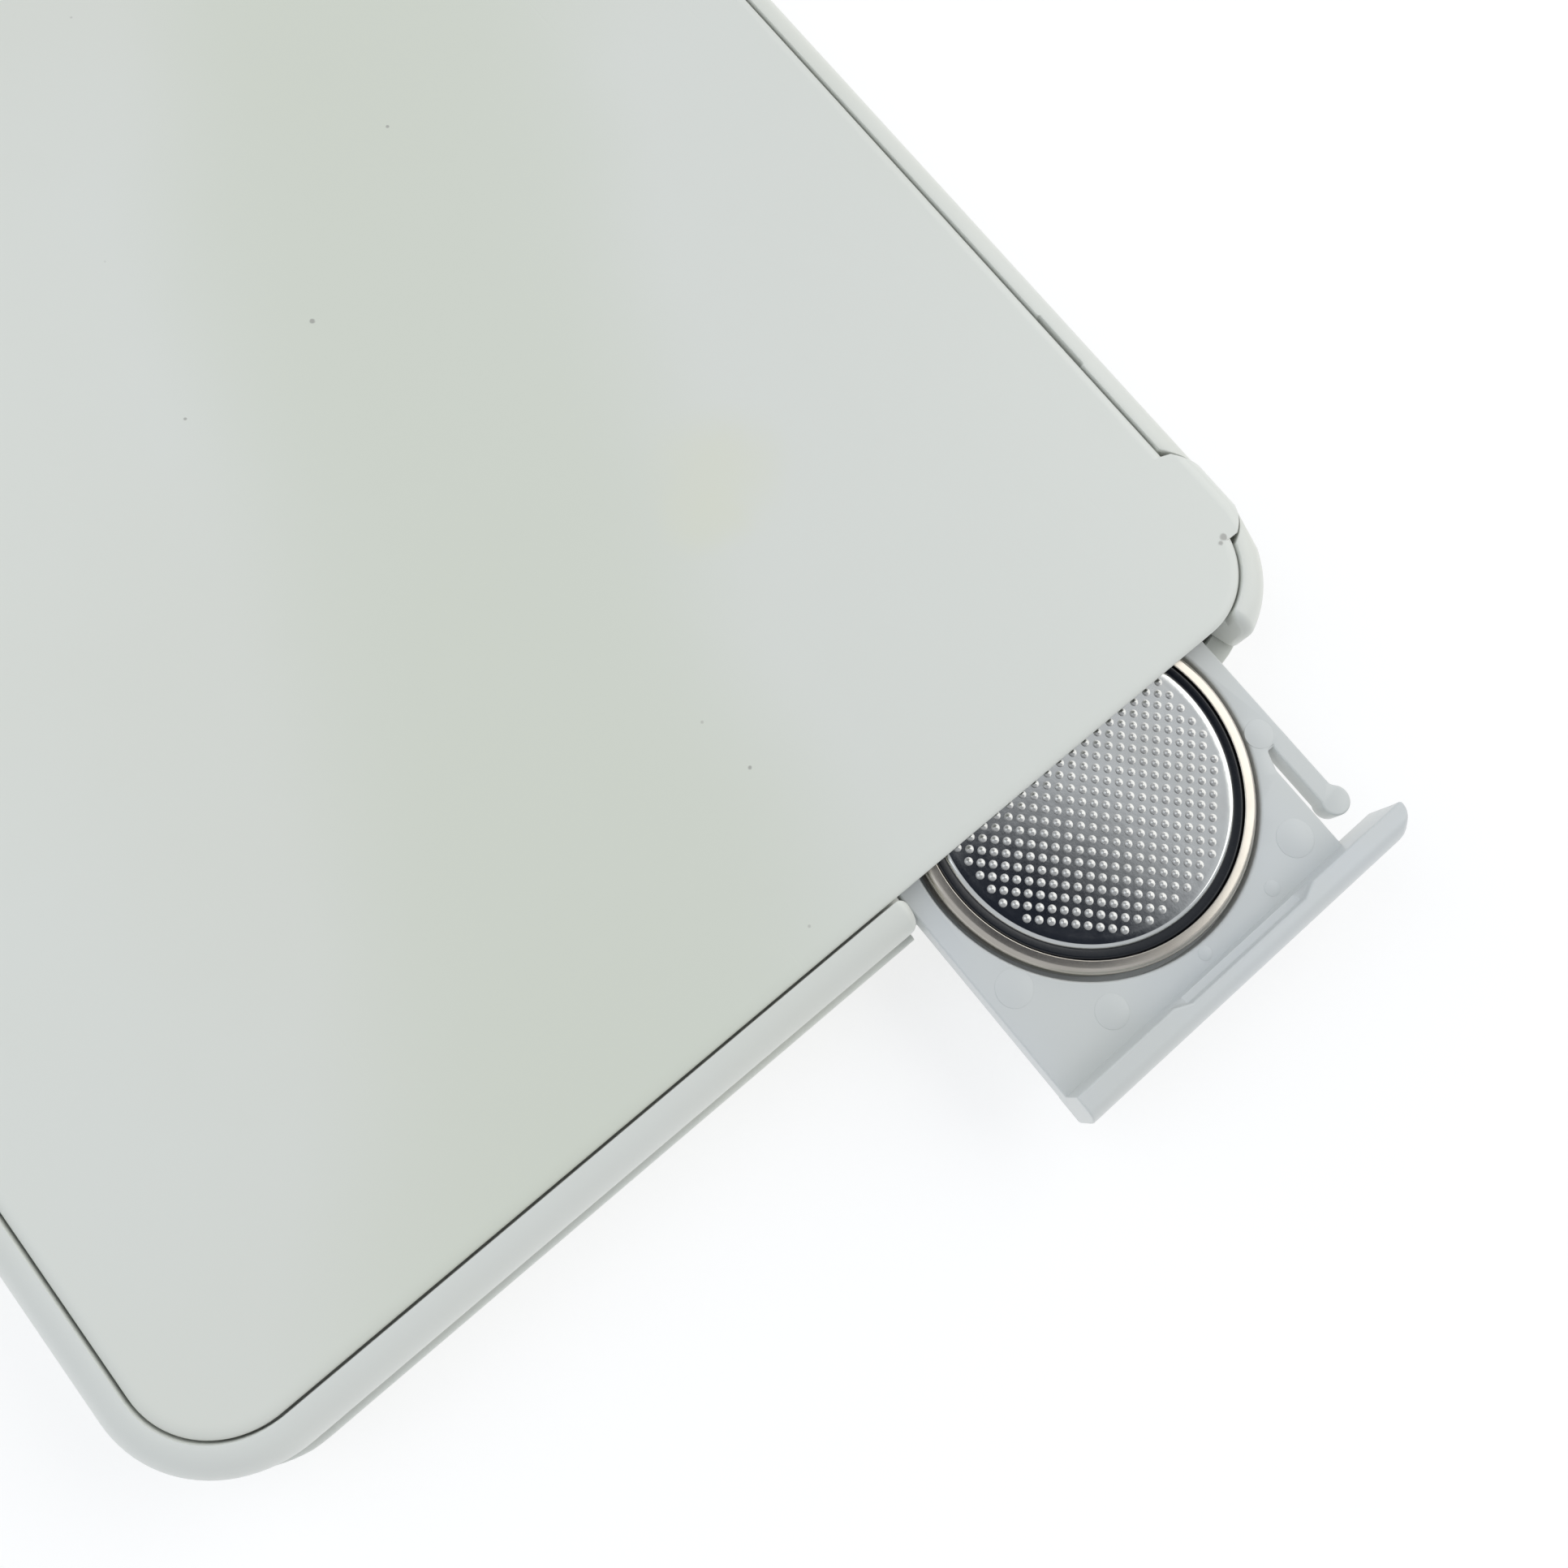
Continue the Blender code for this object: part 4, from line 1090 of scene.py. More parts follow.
class Copies(Nodes):
    """A Geometry Nodes tree that sets copies of one piece, with named inputs."""

    def __init__(self, name: str, inputs: Mapping[str, tuple[str, object]]) -> None:
        """Start a tree.

        Args:
            name: the tree's name.
            inputs: each input's name, its socket type and its value.
        """
        super().__init__(bpy.data.node_groups.new(name, "GeometryNodeTree"))
        face = self.tree.interface
        face.new_socket(name="Geometry", in_out="OUTPUT", socket_type="NodeSocketGeometry")
        self.given = {}
        for label, (kind, value) in inputs.items():
            socket = face.new_socket(name=label, in_out="INPUT", socket_type=kind)
            self.given[socket.identifier] = value
        self.entry = self.add("NodeGroupInput").outputs

    def points_of(self, holder: str) -> bpy.types.NodeSocket:
        """The points of the object in one input."""
        held = self.add("GeometryNodeObjectInfo", sockets={"Object": self.entry[holder]})
        return held.outputs["Geometry"]

    def on(
        self, points: bpy.types.NodeSocket, template: str, turn: bpy.types.NodeSocket | None = None,
    ) -> bpy.types.NodeSocket:
        """Copies on points of the object in one input, turned about Z if a turn is given."""
        copied = self.add("GeometryNodeObjectInfo", sockets={
            "Object": self.entry[template], "As Instance": True}).outputs["Geometry"]
        sockets = {"Points": points, "Instance": copied}
        if turn is not None:
            sockets["Rotation"] = self.add("ShaderNodeCombineXYZ", sockets={"Z": turn}).outputs[0]
        return self.add("GeometryNodeInstanceOnPoints", sockets=sockets).outputs[0]

    def bake(self, copies: bpy.types.NodeSocket, material: bpy.types.Material) -> bpy.types.Mesh:
        """Realize the copies, set their material and return the plain mesh; templates are removed."""
        real = self.add("GeometryNodeRealizeInstances", sockets={0: copies}).outputs[0]
        dressed = self.add("GeometryNodeSetMaterial", sockets={"Geometry": real, "Material": material})
        self.add("NodeGroupOutput", sockets={0: dressed.outputs[0]})
        host = bpy.data.objects.new(self.tree.name, bpy.data.meshes.new(self.tree.name))
        bpy.context.scene.collection.objects.link(host)
        modifier = host.modifiers.new(self.tree.name, "NODES")
        modifier.node_group = self.tree
        for identifier, value in self.given.items():
            modifier[identifier] = value
        mesh = baked(host)
        for value in self.given.values():
            if isinstance(value, bpy.types.Object):
                bpy.data.objects.remove(value)
        return mesh


@dataclass
class ScrewRow:
    """The casing screws: one pan-head cross screw, set at each hole by Geometry Nodes."""

    centres: Sequence[Point]
    head: float
    shank: float = 0.8 * MM
    head_low: float = 0.1 * MM
    head_high: float = 0.75 * MM
    tip: float = 4.3 * MM
    threads: int = 8
    pitch: float = 0.4 * MM
    seed: int = 7

    def _screw(self) -> bpy.types.Mesh:
        """One screw on the Z axis, head down, with a cross recess and a coarse thread."""
        profile = [(0.0, self.head_low)]
        profile += [(self.head * math.sin(a), self.head_low + 0.35 * MM * (1 - math.cos(a)))
                    for a in (QUARTER * k / 6 for k in range(1, 7))]
        profile += [(self.head, self.head_high - 0.05 * MM), (self.head - 0.05 * MM, self.head_high)]
        for k in range(self.threads):
            z = self.head_high + 0.25 * MM + k * self.pitch
            profile += [(self.shank - 0.12 * MM, z - 0.12 * MM), (self.shank, z)]
        profile += [(self.shank - 0.12 * MM, self.tip - 0.2 * MM), (0.0, self.tip)]
        screw = turned(profile, (0.0, 0.0), 32)
        arm, half, deep = 0.95 * MM, 0.17 * MM, self.head_low + 0.45 * MM
        for x, y in ((arm, half), (half, arm)):
            screw = combine(screw, block((-x, x), (-y, y), (-MM, deep)), Join.REMOVE)
        return screw

    def make(self, material: bpy.types.Material) -> bpy.types.Mesh:
        """All the screws as one mesh."""
        holes = bpy.data.meshes.new("screw_holes")
        holes.from_pydata([(x, y, 0.0) for x, y in self.centres], [], [])
        tree = Copies("set_screws", {
            "Screw": ("NodeSocketObject", bpy.data.objects.new("screw_template", self._screw())),
            "Holes": ("NodeSocketObject", bpy.data.objects.new("screw_points", holes)),
            "Seed": ("NodeSocketInt", self.seed)})
        turn = tree.add("FunctionNodeRandomValue", {"data_type": "FLOAT"}, {
            2: 0.0, 3: math.pi, "Seed": tree.entry["Seed"]})
        return tree.bake(tree.on(tree.points_of("Holes"), "Screw", turn.outputs[1]), material)


@dataclass
class DotGrid:
    """The raised dots of the cell's cap, set on a turned square grid by Geometry Nodes."""

    centre: Point
    height: float
    reach: float = 8.0 * MM
    pitch: float = 0.67 * MM
    turn: float = -45.5
    dot_radius: float = 0.24 * MM
    dot_rise: float = 0.085 * MM

    def _dot(self) -> bpy.types.Mesh:
        """One soft round dot on the Z axis, closed below."""
        profile = [(0.0, -0.02 * MM), (self.dot_radius, -0.02 * MM)]
        for k in range(6, 0, -1):
            r = self.dot_radius * k / 6
            profile.append((r, self.dot_rise * math.exp(-(r / (0.52 * self.dot_radius)) ** 2)
                            - 0.0027 * MM))
        profile.append((0.0, self.dot_rise))
        return turned(profile, (0.0, 0.0), 14)

    def make(self, material: bpy.types.Material) -> bpy.types.Mesh:
        """All the dots as one mesh."""
        count = 2 * int(self.reach / self.pitch) + 3
        tree = Copies("set_dots", {
            "Dot": ("NodeSocketObject", bpy.data.objects.new("dot_template", self._dot())),
            "Reach": ("NodeSocketFloat", self.reach), "Size": ("NodeSocketFloat", (count - 1) * self.pitch),
            "Count": ("NodeSocketInt", count)})
        size, number = tree.entry["Size"], tree.entry["Count"]
        grid = tree.add("GeometryNodeMeshGrid", sockets={
            "Size X": size, "Size Y": size, "Vertices X": number, "Vertices Y": number})
        place = tree.add("GeometryNodeInputPosition")
        away = tree.add("ShaderNodeVectorMath", {"operation": "LENGTH"}, {0: place.outputs[0]})
        outside = tree.add("FunctionNodeCompare", {"operation": "GREATER_THAN"}, {
            0: away.outputs["Value"], 1: tree.entry["Reach"]})
        kept = tree.add("GeometryNodeDeleteGeometry", {"domain": "POINT"}, {
            "Geometry": grid.outputs["Mesh"], "Selection": outside.outputs[0]})
        moved = tree.add("GeometryNodeTransform", sockets={
            "Geometry": tree.on(kept.outputs[0], "Dot"), "Translation": (*self.centre, self.height),
            "Rotation": (0.0, 0.0, math.radians(self.turn))})
        return tree.bake(moved.outputs[0], material)


# ---------------------------------------------------------------- drawer and cell


@dataclass
class Drawer:
    """The drawer with its flange, and the latch finger beside it."""

    left: float
    right: float
    flange_outer: float
    flange_right: float
    plate_end: float
    low: float
    top: float
    cell: Point
    plate_high: float = 4.3 * MM
    lip: float = 0.3 * MM
    pocket: float = 10.3 * MM
    opening: float = 8.6 * MM
    flange_depth: float = 1.75 * MM
    flange_round: Point = (1.0 * MM, 1.5 * MM)
    flange_lip: float = 0.14 * MM
    ease: float = 0.12 * MM
    slot_width: float = 0.75 * MM
    finger_width: float = 1.15 * MM
    finger_root: float = -68.35 * MM
    finger_length: float = 4.3 * MM
    bulb: float = 0.87 * MM
    finger_proud: float = 0.004 * MM
    scoop: tuple[float, float, float, float] = (14.6 * MM, 15.6 * MM, 24.2 * MM, 25.2 * MM)
    scoop_depth: float = 0.42 * MM
    pin_marks: tuple[tuple[float, float, float], ...] = (
        (9.2 * MM, -68.75 * MM, 1.05 * MM), (27.0 * MM, -72.7 * MM, 1.1 * MM),
        (24.0 * MM, -73.85 * MM, 0.45 * MM), (29.55 * MM, -67.15 * MM, 0.85 * MM),
        (12.5 * MM, -73.0 * MM, 0.95 * MM), (18.6 * MM, -74.0 * MM, 0.4 * MM))

    @property
    def flange_inner(self) -> float:
        """The y of the flange's inner face."""
        return self.flange_outer + self.flange_depth

    def _plate_outline(self) -> Ring:
        """The plate's outline, with the slot beside the latch finger."""
        slot = self.right - self.finger_width - self.slot_width
        root = self.finger_root + 0.15 * MM
        deep = self.flange_inner - 0.5 * MM
        return soften([
            (self.left, deep, 0.0), (slot, deep, 0.0), (slot, root - 1.1 * MM, 0.8 * MM),
            (slot + 0.4 * MM, root, 0.12 * MM), (self.right, root, 0.05 * MM),
            (self.right, self.plate_end, 0.6 * MM), (self.left, self.plate_end, 0.6 * MM)])

    def make_plate(self) -> bpy.types.Mesh:
        """The plate with its stepped pocket, its contact opening and its moulding marks."""
        ledge = self.low + self.lip
        pocket = [(circle(self.cell, r, 128, hole=True), z) for r, z in (
            (self.opening, self.low), (self.opening, ledge), (self.pocket, ledge),
            (self.pocket, self.plate_high - 0.16 * MM),
            (self.pocket + 0.03 * MM, self.plate_high - 0.07 * MM),
            (self.pocket + 0.1 * MM, self.plate_high - 0.015 * MM),
            (self.pocket + 0.18 * MM, self.plate_high))]
        middle = (self.left + self.right) / 2
        back = rounded_rect((middle, self.plate_end - 3.65 * MM), 16 * MM, 3.7 * MM, 0.6 * MM)[::-1]
        flank = eased_flank(self.low, self.plate_high, self.ease, 3)
        loops = [levels(self._plate_outline(), flank), pocket, levels(back, flank)]
        marks = [turned(soften([(0.0, -0.2 * MM, 0.0), (r, -0.2 * MM, 0.0), (r, 0.018 * MM, 0.012 * MM),
                                (0.0, 0.018 * MM, 0.0)], 3, closed=False), (x, y), 48)
                 for x, y, r in self.pin_marks]
        for mark in marks:
            mark.transform(Matrix.Translation((0.0, 0.0, self.plate_high)))
        body = plate(loops)
        for mark in marks:
            body = combine(body, mark, Join.ADD)
        return body

    def _flange_plan(self, outer: float, inner: float, ends: float, scoop: float) -> Ring:
        """Plan of the flange at one height.

        Args:
            outer: how far the outer face draws in.
            inner: how far the inner face draws out.
            ends: how far each end draws in.
            scoop: depth of the finger scoop in the inner face.

        Returns:
            The closed outline, anticlockwise.
        """
        x0, x1 = self.left + ends, self.flange_right - ends
        y0, y1 = self.flange_outer + outer, self.flange_inner - inner
        depth = y1 - y0
        a, b, c, d = self.scoop
        y2 = y1 - scoop
        return soften([
            (x0, y0, 0.12 * MM), (x1, y0, min(1.15 * MM, 0.8 * depth)),
            (x1, y1, min(0.35 * MM, 0.15 * depth)),
            (x1 - 1.3 * MM, y1, 0.3 * MM), (d, y1, 0.35 * MM), (c, y2, 0.35 * MM), (b, y2, 0.35 * MM),
            (a, y1, 0.35 * MM), (x0, y1, 0.05 * MM)], 6)

    def make_flange(self) -> bpy.types.Mesh:
        """The drawer's front, round above and outside, with a scoop in its inner edge."""
        crown = self.top - 0.1 * MM
        rows = [(0.12 * MM, 0.0, self.low), (0.03 * MM, 0.0, self.low + 0.04 * MM),
                (0.0, 0.0, self.low + 0.13 * MM)]
        across, down = self.flange_round
        for k in range(17):
            a = QUARTER * k / 16
            rise = crown - down * (1 - math.sin(a))
            lip = max(0.0, rise - crown + self.flange_lip)
            inner = self.flange_lip - math.sqrt(max(0.0, self.flange_lip ** 2 - lip ** 2))
            rows.append((across * (1 - math.cos(a)), inner, rise))
        rings = []
        for outer, inner, z in rows:
            ends = 0.8 * inner
            share = min(1.0, max(0.0, (z - 5.35 * MM) / (0.35 * MM)))
            share = share * share * (3 - 2 * share)
            plan = self._flange_plan(outer, inner, ends, max(1e-6, self.scoop_depth * share))
            rings.append([(x, y, z) for x, y in plan])
        return loft(rings)

    def make_finger(self) -> bpy.types.Mesh:
        """The latch finger: a bar with a round bulb, which runs on into the drawer at its root."""
        right = self.right + self.finger_proud
        left = right - self.finger_width
        cx, cy = right - 0.4 * MM, self.finger_root - self.finger_length
        root = self.finger_root + 0.6 * MM
        fillet = 0.55 * MM
        inner = math.degrees(math.acos((left - cx) / self.bulb))
        away = self.bulb + fillet
        rise = math.sqrt(away ** 2 - (right + fillet - cx) ** 2)
        tangent = math.degrees(math.atan2(rise, right + fillet - cx))
        outline = [(left + 0.12 * MM, root), (left, root - 0.9 * MM)]
        outline += arc((cx, cy), self.bulb, inner, 360 + tangent, 30)
        outline += arc((right + fillet, cy + rise), fillet, 180 + tangent, 180, 6)[1:]
        outline.append((right, root))
        flank = eased_flank(self.low + 0.01 * MM, self.plate_high + self.finger_proud, self.ease, 4)
        return plate([levels(outline, flank)])

    def build(self, finishes: Finishes) -> None:
        """Make and place the drawer's pieces."""
        tray = combine(self.make_plate(), self.make_flange(), Join.ADD)
        finish_piece("drawer_tray", tray, finishes["drawer"],
                     Place("drawer", Slot.DRAWER, ("battery_drawer",)))
        finish_piece("latch_spring", self.make_finger(), finishes["drawer"],
                     Place("latch", Slot.DRAWER, ("latch_finger",)))


@dataclass
class CoinCell:
    """The coin cell: its can, the seal round the cap, and the dotted cap."""

    centre: Point
    low: float
    top: float
    radius: float = 10.0 * MM
    seal: float = 9.2 * MM
    cap: float = 8.7 * MM
    roll: Point = (0.36 * MM, 0.40 * MM)

    def make_can(self) -> bpy.types.Mesh:
        """The can, with its crimped and rounded shoulder."""
        r, t = self.radius, self.top
        inner = self.seal + 0.03 * MM
        profile = soften([
            (0.0, self.low, 0.0), (r, self.low, 0.3 * MM), (r, t - 0.1 * MM, 0.42 * MM),
            (inner, t - 0.02 * MM, 0.05 * MM), (inner, self.low + 0.25 * MM, 0.0),
            (0.0, self.low + 0.25 * MM, 0.0)], 10, closed=False)
        return turned(profile, self.centre, 128)

    def make_seal(self) -> bpy.types.Mesh:
        """The seal, a rounded black ring a little below the crimp."""
        inner = self.cap - 0.12 * MM
        return turned(soften([
            (inner, self.low + 0.35 * MM, 0.0), (self.seal, self.low + 0.35 * MM, 0.0),
            (self.seal, self.top - 0.13 * MM, 0.15 * MM), (inner, self.top - 0.20 * MM, 0.15 * MM)], 6),
            self.centre, 128)

    def make_cap(self) -> bpy.types.Mesh:
        """The cap, flat in the middle, with a rolled edge."""
        across, down = self.roll
        flat = self.cap - across
        profile = [(0.0, self.low + 0.4 * MM), (self.cap, self.low + 0.4 * MM), (self.cap, self.top - down)]
        profile += [(self.cap - across * (1 - math.cos(a)), self.top - down * (1 - math.sin(a)))
                    for a in (QUARTER * k / 12 for k in range(1, 13))]
        profile += [(flat - 0.3 * MM, self.top - 0.005 * MM), (flat - 0.6 * MM, self.top - 0.003 * MM),
                    (0.0, self.top - 0.003 * MM)]
        return turned(profile, self.centre, 128)

    def build(self, finishes: Finishes) -> None:
        """Make and place the cell's pieces."""
        finish_piece("cell_case", self.make_can(), finishes["can"],
                     Place("drawer", Slot.BRIGHT_STEEL, ("cell_can",)))
        finish_piece("cell_seal", self.make_seal(), finishes["seal"],
                     Place("drawer", Slot.BLACK, ("cell_gasket",)))
        finish_piece("cell_lid", self.make_cap(), finishes["nickel"],
                     Place("drawer", Slot.BRIGHT_STEEL, ("cell_cap",)))
        # the dots take a darker copy of the cap's nickel: painted shade
        dots = DotGrid(self.centre, self.top).make(finishes["dots"])
        finish_piece("cell_lid_dots", dots, finishes["dots"], Place("drawer", Slot.BRIGHT_STEEL))


# ---------------------------------------------------------------- feet, key and display


@dataclass
class Feet:
    """The four weighing feet, each with its rubber pad."""

    centres: Sequence[Point]
    low: float
    radius: float = 7.0 * MM
    pad: float = 6.0 * MM
    stem: float = 3.1 * MM
    stem_top: float = 1.35 * MM

    def make_foot(self, centre: Point) -> bpy.types.Mesh:
        """The hard foot: a cup round its pad, a rim and the stem to the load cell."""
        rim = self.low + 0.45 * MM
        well = self.pad + 0.15 * MM
        profile = soften([
            (0.0, -0.5 * MM, 0.0), (well, -0.5 * MM, 0.0), (well, rim, 0.08 * MM),
            (self.radius, rim, 0.3 * MM), (self.radius, 0.3 * MM, 0.2 * MM),
            (self.stem, 0.3 * MM, 0.1 * MM), (self.stem, self.stem_top, 0.15 * MM),
            (0.0, self.stem_top, 0.0)], 5, closed=False)
        return turned(profile, centre, 96)

    def make_pad(self, centre: Point) -> bpy.types.Mesh:
        """The rubber pad, with rings moulded in its sole."""
        sole = self.low
        corners = [(0.0, sole, 0.0)]
        for k in range(5):
            r = (1.2 + 0.95 * k) * MM
            corners += [(r, sole, 0.08 * MM), (r + 0.06 * MM, sole + 0.16 * MM, 0.06 * MM),
                        (r + 0.34 * MM, sole + 0.16 * MM, 0.06 * MM), (r + 0.40 * MM, sole, 0.08 * MM)]
        corners += [(self.pad, sole, 0.18 * MM), (self.pad, -0.65 * MM, 0.05 * MM), (0.0, -0.65 * MM, 0.0)]
        return turned(soften(corners, 3, closed=False), centre, 96)

    def build(self, finishes: Finishes) -> None:
        """Make and place the feet."""
        for number, centre in enumerate(self.centres, 1):
            finish_piece(f"foot_cup_{number}", self.make_foot(centre), finishes["base"],
                         Place("casing", Slot.CASING, (f"foot_{number}",)))
            finish_piece(f"foot_sole_{number}", self.make_pad(centre), finishes["rubber"],
                         Place("casing", Slot.RUBBER, (f"foot_pad_{number}",)))


@dataclass
class UnitKey:
    """The round key in the underside."""

    centre: Point
    radius: float = 2.5 * MM
    floor: float = 1.2 * MM

    def build(self, finishes: Finishes) -> None:
        """Make and place the key, with a dished face."""
        profile = [(0.0, 0.14 * MM)]
        profile += [(1.9 * MM * k / 6, 0.14 * MM - 0.12 * MM * (k / 6) ** 2) for k in range(1, 7)]
        profile += soften([
            (self.radius - 0.35 * MM, 0.0, 0.0), (self.radius, 0.0, 0.2 * MM),
            (self.radius, self.floor + 0.1 * MM, 0.0), (self.radius + 0.9 * MM, self.floor + 0.1 * MM, 0.0),
            (self.radius + 0.9 * MM, self.floor + 0.3 * MM, 0.0), (0.0, self.floor + 0.3 * MM, 0.0)], 5,
            closed=False)
        finish_piece("unit_key", turned(profile, self.centre, 64), finishes["key"],
                     Place("button", Slot.CASING, ("unit_button",)))


@dataclass
class Display:
    """The window pane and the resting segments of the display under it."""

    centre: Point
    width: float
    length: float
    low: float
    high: float
    glass_top: float
    digits: int = 4
    digit_height: float = 9.0 * MM
    digit_pitch: float = 7.0 * MM
    stroke: float = 0.8 * MM

    def make_pane(self) -> bpy.types.Mesh:
        """The pane, with a polished eased edge."""
        ring = rounded_rect(self.centre, self.width, self.length, 1.4 * MM)
        return plate([levels(ring, eased_flank(self.low, self.high, 0.12 * MM, 4))])

    def make_segments(self, material: bpy.types.Material) -> bpy.types.Mesh:
        """Seven bars for each digit, set by Geometry Nodes on points that carry a turn."""
        long, half = self.digit_height / 2 - 0.25 * MM, self.stroke / 2
        bar = [(-long / 2, 0.0), (-long / 2 + half, -half), (long / 2 - half, -half), (long / 2, 0.0),
               (long / 2 - half, half), (-long / 2 + half, half)]
        template = bpy.data.objects.new("bar_template", plate([[(bar, 0.0), (bar, 0.03 * MM)]]))
        reach = self.digit_height / 2
        spots = []
        for d in range(self.digits):
            x = (d - (self.digits - 1) / 2) * self.digit_pitch
            spots += [(x, y, 0.0) for y in (-reach, 0.0, reach)]
            spots += [(x + sx * reach / 2, sy * reach / 2, QUARTER) for sx in (-1, 1) for sy in (-1, 1)]
        mesh = bpy.data.meshes.new("bar_spots")
        mesh.from_pydata([(x, y, 0.0) for x, y, _ in spots], [], [])
        turn = mesh.attributes.new("turn", "FLOAT", "POINT")
        turn.data.foreach_set("value", [a for _, _, a in spots])
        tree = Copies("set_segments", {
            "Bar": ("NodeSocketObject", template),
            "Spots": ("NodeSocketObject", bpy.data.objects.new("bar_points", mesh))})
        named = tree.add("GeometryNodeInputNamedAttribute", {"data_type": "FLOAT"}, {"Name": "turn"})
        moved = tree.add("GeometryNodeTransform", sockets={
            "Geometry": tree.on(tree.points_of("Spots"), "Bar", named.outputs[0]),
            "Translation": (*self.centre, self.glass_top)})
        return tree.bake(moved.outputs[0], material)

    def build(self, finishes: Finishes) -> None:
        """Make and place the pane and the segments."""
        finish_piece("window_pane", self.make_pane(), finishes["window"],
                     Place("casing", Slot.SMOKED, ("display_window",)))
        finish_piece("resting_segments", self.make_segments(finishes["segment"]), finishes["segment"],
                     Place("casing", Slot.GLASS))


# ---------------------------------------------------------------- stage


@dataclass
class Studio:
    """Pale floor, soft light all round, and the camera."""

    floor_height: float
    floor_side: float = 1.6
    camera_place: tuple[float, float, float] = (-9.30 * MM, -60.13 * MM, 82.38 * MM)
    camera_turn: tuple[float, float, float] = (15.359, -5.491, -39.513)
    lens: float = 33.85
    shift: float = -0.064
    sky_strength: float = 0.66
    sky_colour: Colour = (0.93, 0.96, 1.0)
    dim_colour: Colour = (0.025, 0.03, 0.045)
    dim_towards: tuple[float, float, float] = (0.12, -0.14, 0.98)
    dim_reach: Point = (0.195, 0.262)
    lamp_target: tuple[float, float, float] = (0.0, -0.02, 0.0)

    def make_floor(self) -> None:
        """A pale floor that glows a little, as a lit table does; from below it is clear."""
        half = self.floor_side / 2
        mesh = bpy.data.meshes.new("floor")
        mesh.from_pydata([(-half, -half, self.floor_height), (half, -half, self.floor_height),
                          (half, half, self.floor_height), (-half, half, self.floor_height)], [],
                         [(0, 1, 2, 3)])
        floor = bpy.data.objects.new("floor", mesh)
        bpy.context.scene.collection.objects.link(floor)
        g = Graph("pale_floor")
        g.feed(Base_Color=(0.45, 0.45, 0.45), Roughness=0.9, Emission_Color=(1.0, 1.0, 1.0),
               Emission_Strength=0.6)
        under = g.add("ShaderNodeNewGeometry").outputs["Backfacing"]
        clear = g.add("ShaderNodeBsdfTransparent").outputs[0]
        both = g.add("ShaderNodeMixShader", sockets={0: under, 1: g.shader.outputs[0], 2: clear})
        g.give(g.output.inputs["Surface"], both.outputs[0])
        mesh.materials.append(g.material)

    def make_sky(self) -> None:
        """An even pale surround with one dim soft patch overhead, which polished metal mirrors."""
        world = bpy.data.worlds.new("surround")
        bpy.context.scene.world = world
        world.use_nodes = True
        sky = Nodes(world.node_tree)
        where = sky.add("ShaderNodeTexCoord").outputs["Generated"]
        away = sky.add("ShaderNodeVectorMath", {"operation": "DISTANCE"}, {0: where, 1: self.dim_towards})
        tone = sky.add("ShaderNodeValToRGB", {"stops": (
            (self.dim_reach[0], self.dim_colour), (self.dim_reach[1], self.sky_colour))}, {
            0: away.outputs["Value"]})
        glow = sky.add("ShaderNodeBackground", sockets={
            "Color": tone.outputs[0], "Strength": self.sky_strength})
        sky.add("ShaderNodeOutputWorld", sockets={"Surface": glow.outputs[0]})

    def add_light(
        self, name: str, place: Sequence[float], side: float, watts: float, colour: Colour,
    ) -> None:
        """A square soft light that faces the object."""
        data = bpy.data.lights.new(name, "AREA")
        data.shape = "SQUARE"
        data.size = side
        data.energy = watts
        data.color = colour
        light = bpy.data.objects.new(name, data)
        light.location = place
        aim = Vector(self.lamp_target) - Vector(place)
        light.rotation_euler = aim.to_track_quat("-Z", "Y").to_euler()
        bpy.context.scene.collection.objects.link(light)

    def make_camera(self) -> None:
        """The camera, close above the near edge."""
        data = bpy.data.cameras.new("camera")
        data.lens = self.lens
        data.shift_y = self.shift
        data.clip_start = 1 * MM
        camera = bpy.data.objects.new("camera", data)
        camera.location = self.camera_place
        camera.rotation_euler = [math.radians(a) for a in self.camera_turn]
        bpy.context.scene.collection.objects.link(camera)
        bpy.context.scene.camera = camera

    def build(self) -> None:
        """Set the stage."""
        bpy.context.scene.view_settings.view_transform = "Standard"
        self.make_camera()
        self.make_floor()
        self.make_sky()
        self.add_light("right_window", (0.70, -0.15, 0.50), 0.85, 3.0, (1.0, 0.99, 0.95))
        self.add_light("left_window", (-0.45, 0.50, 0.60), 0.90, 2.3, (0.88, 0.94, 1.0))


# ---------------------------------------------------------------- main


def centre_of(node: str) -> Point:
    """The middle of a node's box, in plan."""
    low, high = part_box(node)
    return ((low.x + high.x) / 2, (low.y + high.y) / 2)


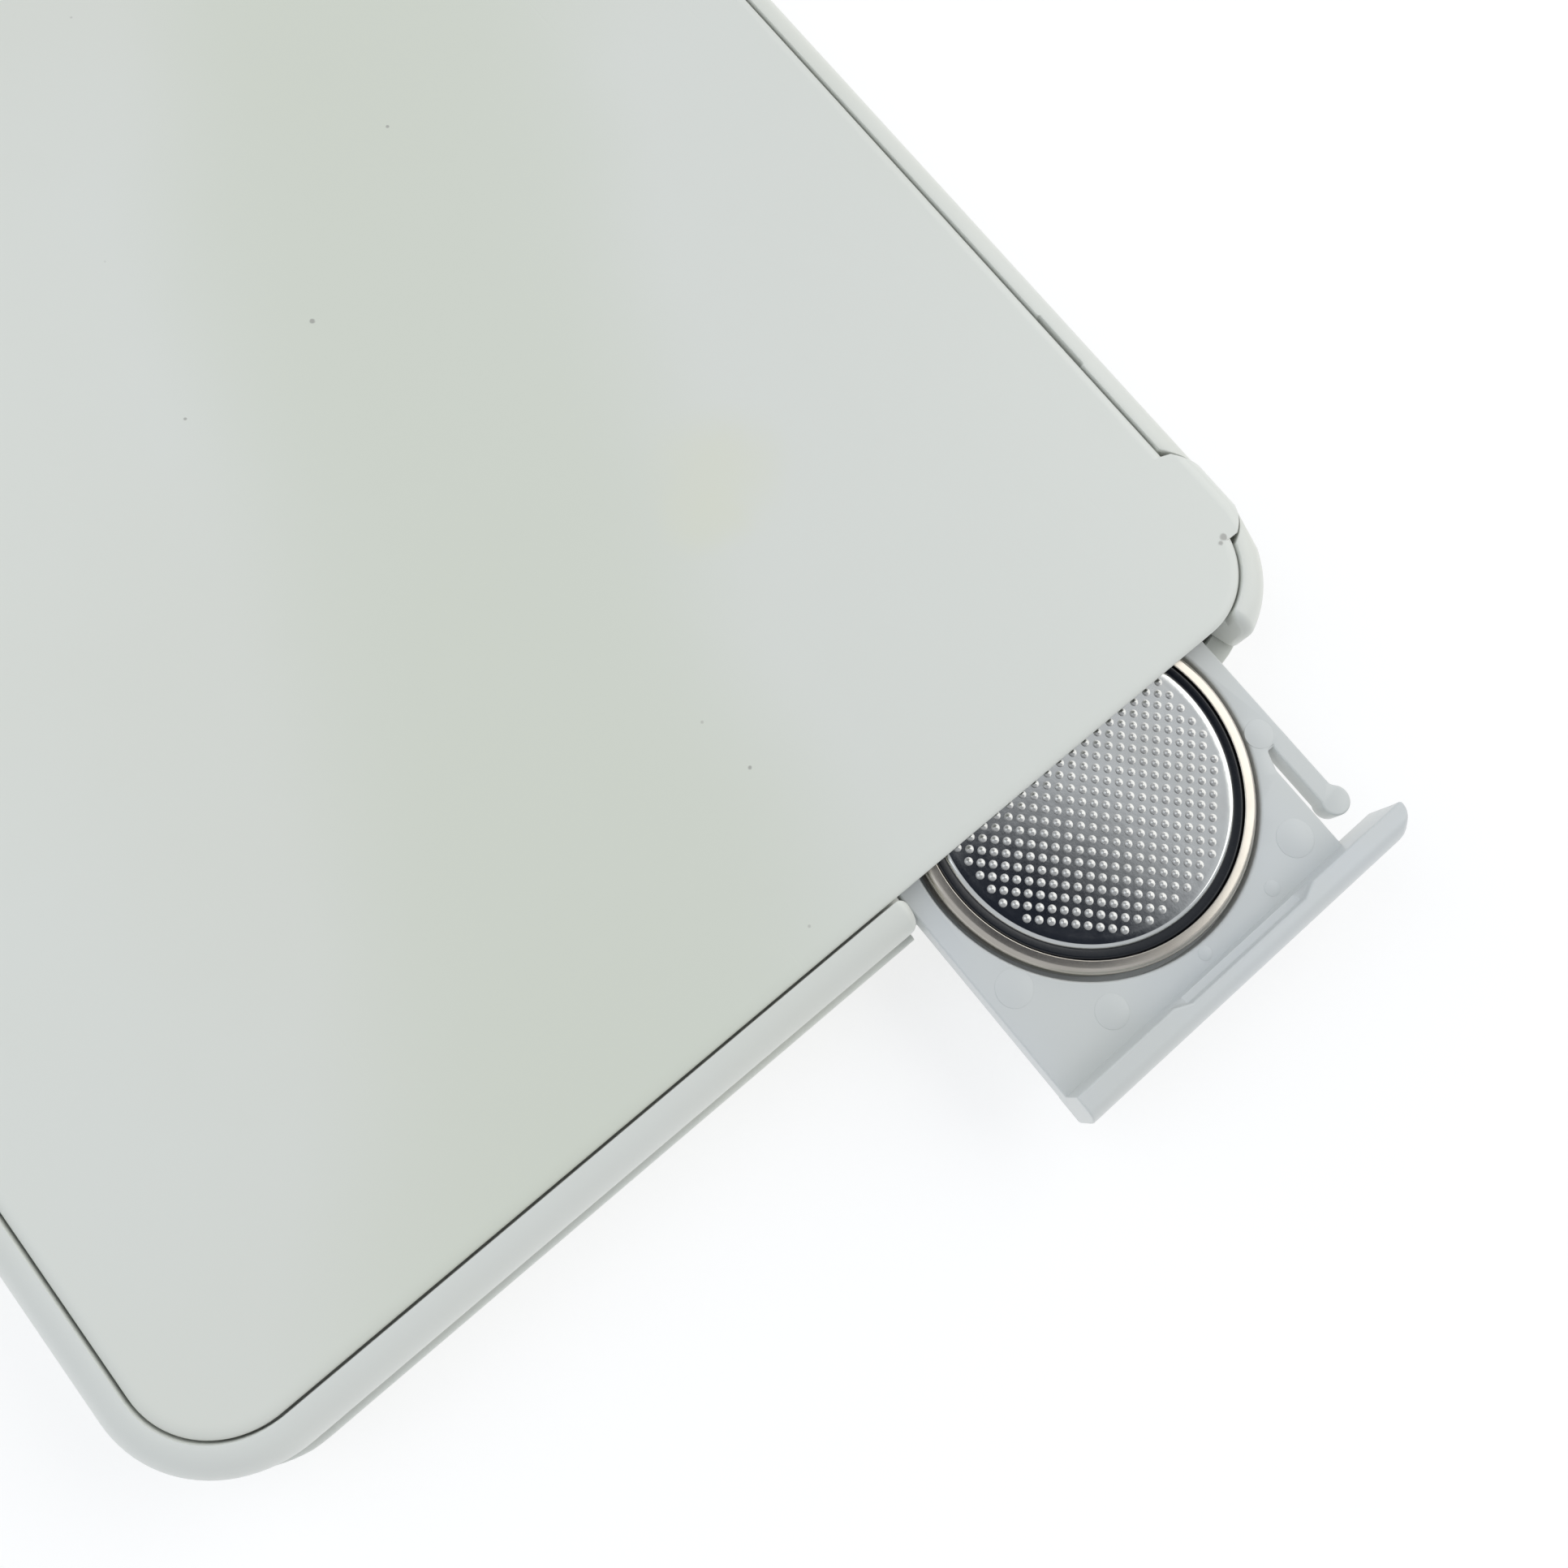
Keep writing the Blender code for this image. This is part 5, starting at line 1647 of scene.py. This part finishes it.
def repaint_inside(nodes: Mapping[str, bpy.types.Object], finishes: Finishes) -> None:
    """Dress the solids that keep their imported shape."""
    four = range(1, 5)
    repaint(nodes, ["panel_tape"], finishes["tape"])
    repaint(nodes, [f"load_cell_{n}" for n in four], finishes["steel"])
    repaint(nodes, [f"strain_gauge_{n}" for n in four], finishes["foil"])
    repaint(nodes, ["negative_contact", "positive_contact"], finishes["bronze"])
    repaint(nodes, ["snap_dome", "crystal"], finishes["zinc"])
    repaint(nodes, ["lcd_frame"], finishes["lcd_frame"])
    repaint(nodes, ["lcd_glass"], finishes["lcd"])
    repaint(nodes, ["zebra_strip", "main_chip", "battery_lead_negative"], finishes["black"])
    repaint(nodes, ["circuit_board"], finishes["laminate"])
    repaint(nodes, ["capacitor_1", "capacitor_2"], finishes["ceramic"])
    repaint(nodes, [f"load_cell_lead_{n}" for n in four] + ["battery_lead_positive"], finishes["red"])


def main() -> None:
    """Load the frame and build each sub-assembly round it."""
    logging.basicConfig(level=logging.INFO, format="%(message)s")
    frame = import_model()
    rim_low, rim_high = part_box("casing_rim")
    window_low, window_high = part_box("display_window")
    feet = [centre_of(f"foot_{n}") for n in range(1, 5)]
    screw_nodes = [f"case_screw_{n}" for n in range(1, 7)]
    finishes = Finishes(centre_of("display_window"), (32.5 * MM, 12.5 * MM))
    Studio(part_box("foot_pad_1")[0].z).build()
    casing = Casing(
        path=SlabPath(rim_high.x, rim_high.y, 6.9 * MM), top=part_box("top_panel")[1].z, rim_low=rim_low.z,
        screws=[centre_of(n) for n in screw_nodes], feet=feet, key=centre_of("unit_button"),
        window_centre=centre_of("display_window"))
    casing.build(finishes, screw_nodes)
    tray_low, tray_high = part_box("battery_drawer")
    cell_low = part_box("cell_can")[0]
    drawer = Drawer(
        left=tray_low.x, right=tray_low.x + 23.2 * MM, flange_outer=tray_low.y, flange_right=tray_high.x,
        plate_end=tray_high.y, low=tray_low.z, top=casing.top, cell=centre_of("cell_can"))
    drawer.build(finishes)
    CoinCell(centre_of("cell_can"), cell_low.z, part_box("cell_cap")[1].z).build(finishes)
    Feet(feet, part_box("foot_pad_1")[0].z).build(finishes)
    UnitKey(centre_of("unit_button")).build(finishes)
    Display(
        centre_of("display_window"), window_high.x - window_low.x, window_high.y - window_low.y,
        window_low.z, window_high.z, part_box("lcd_glass")[1].z).build(finishes)
    repaint_inside(frame["nodes"], finishes)
    bpy.context.view_layer.update()


if __name__ == "__main__":
    main()
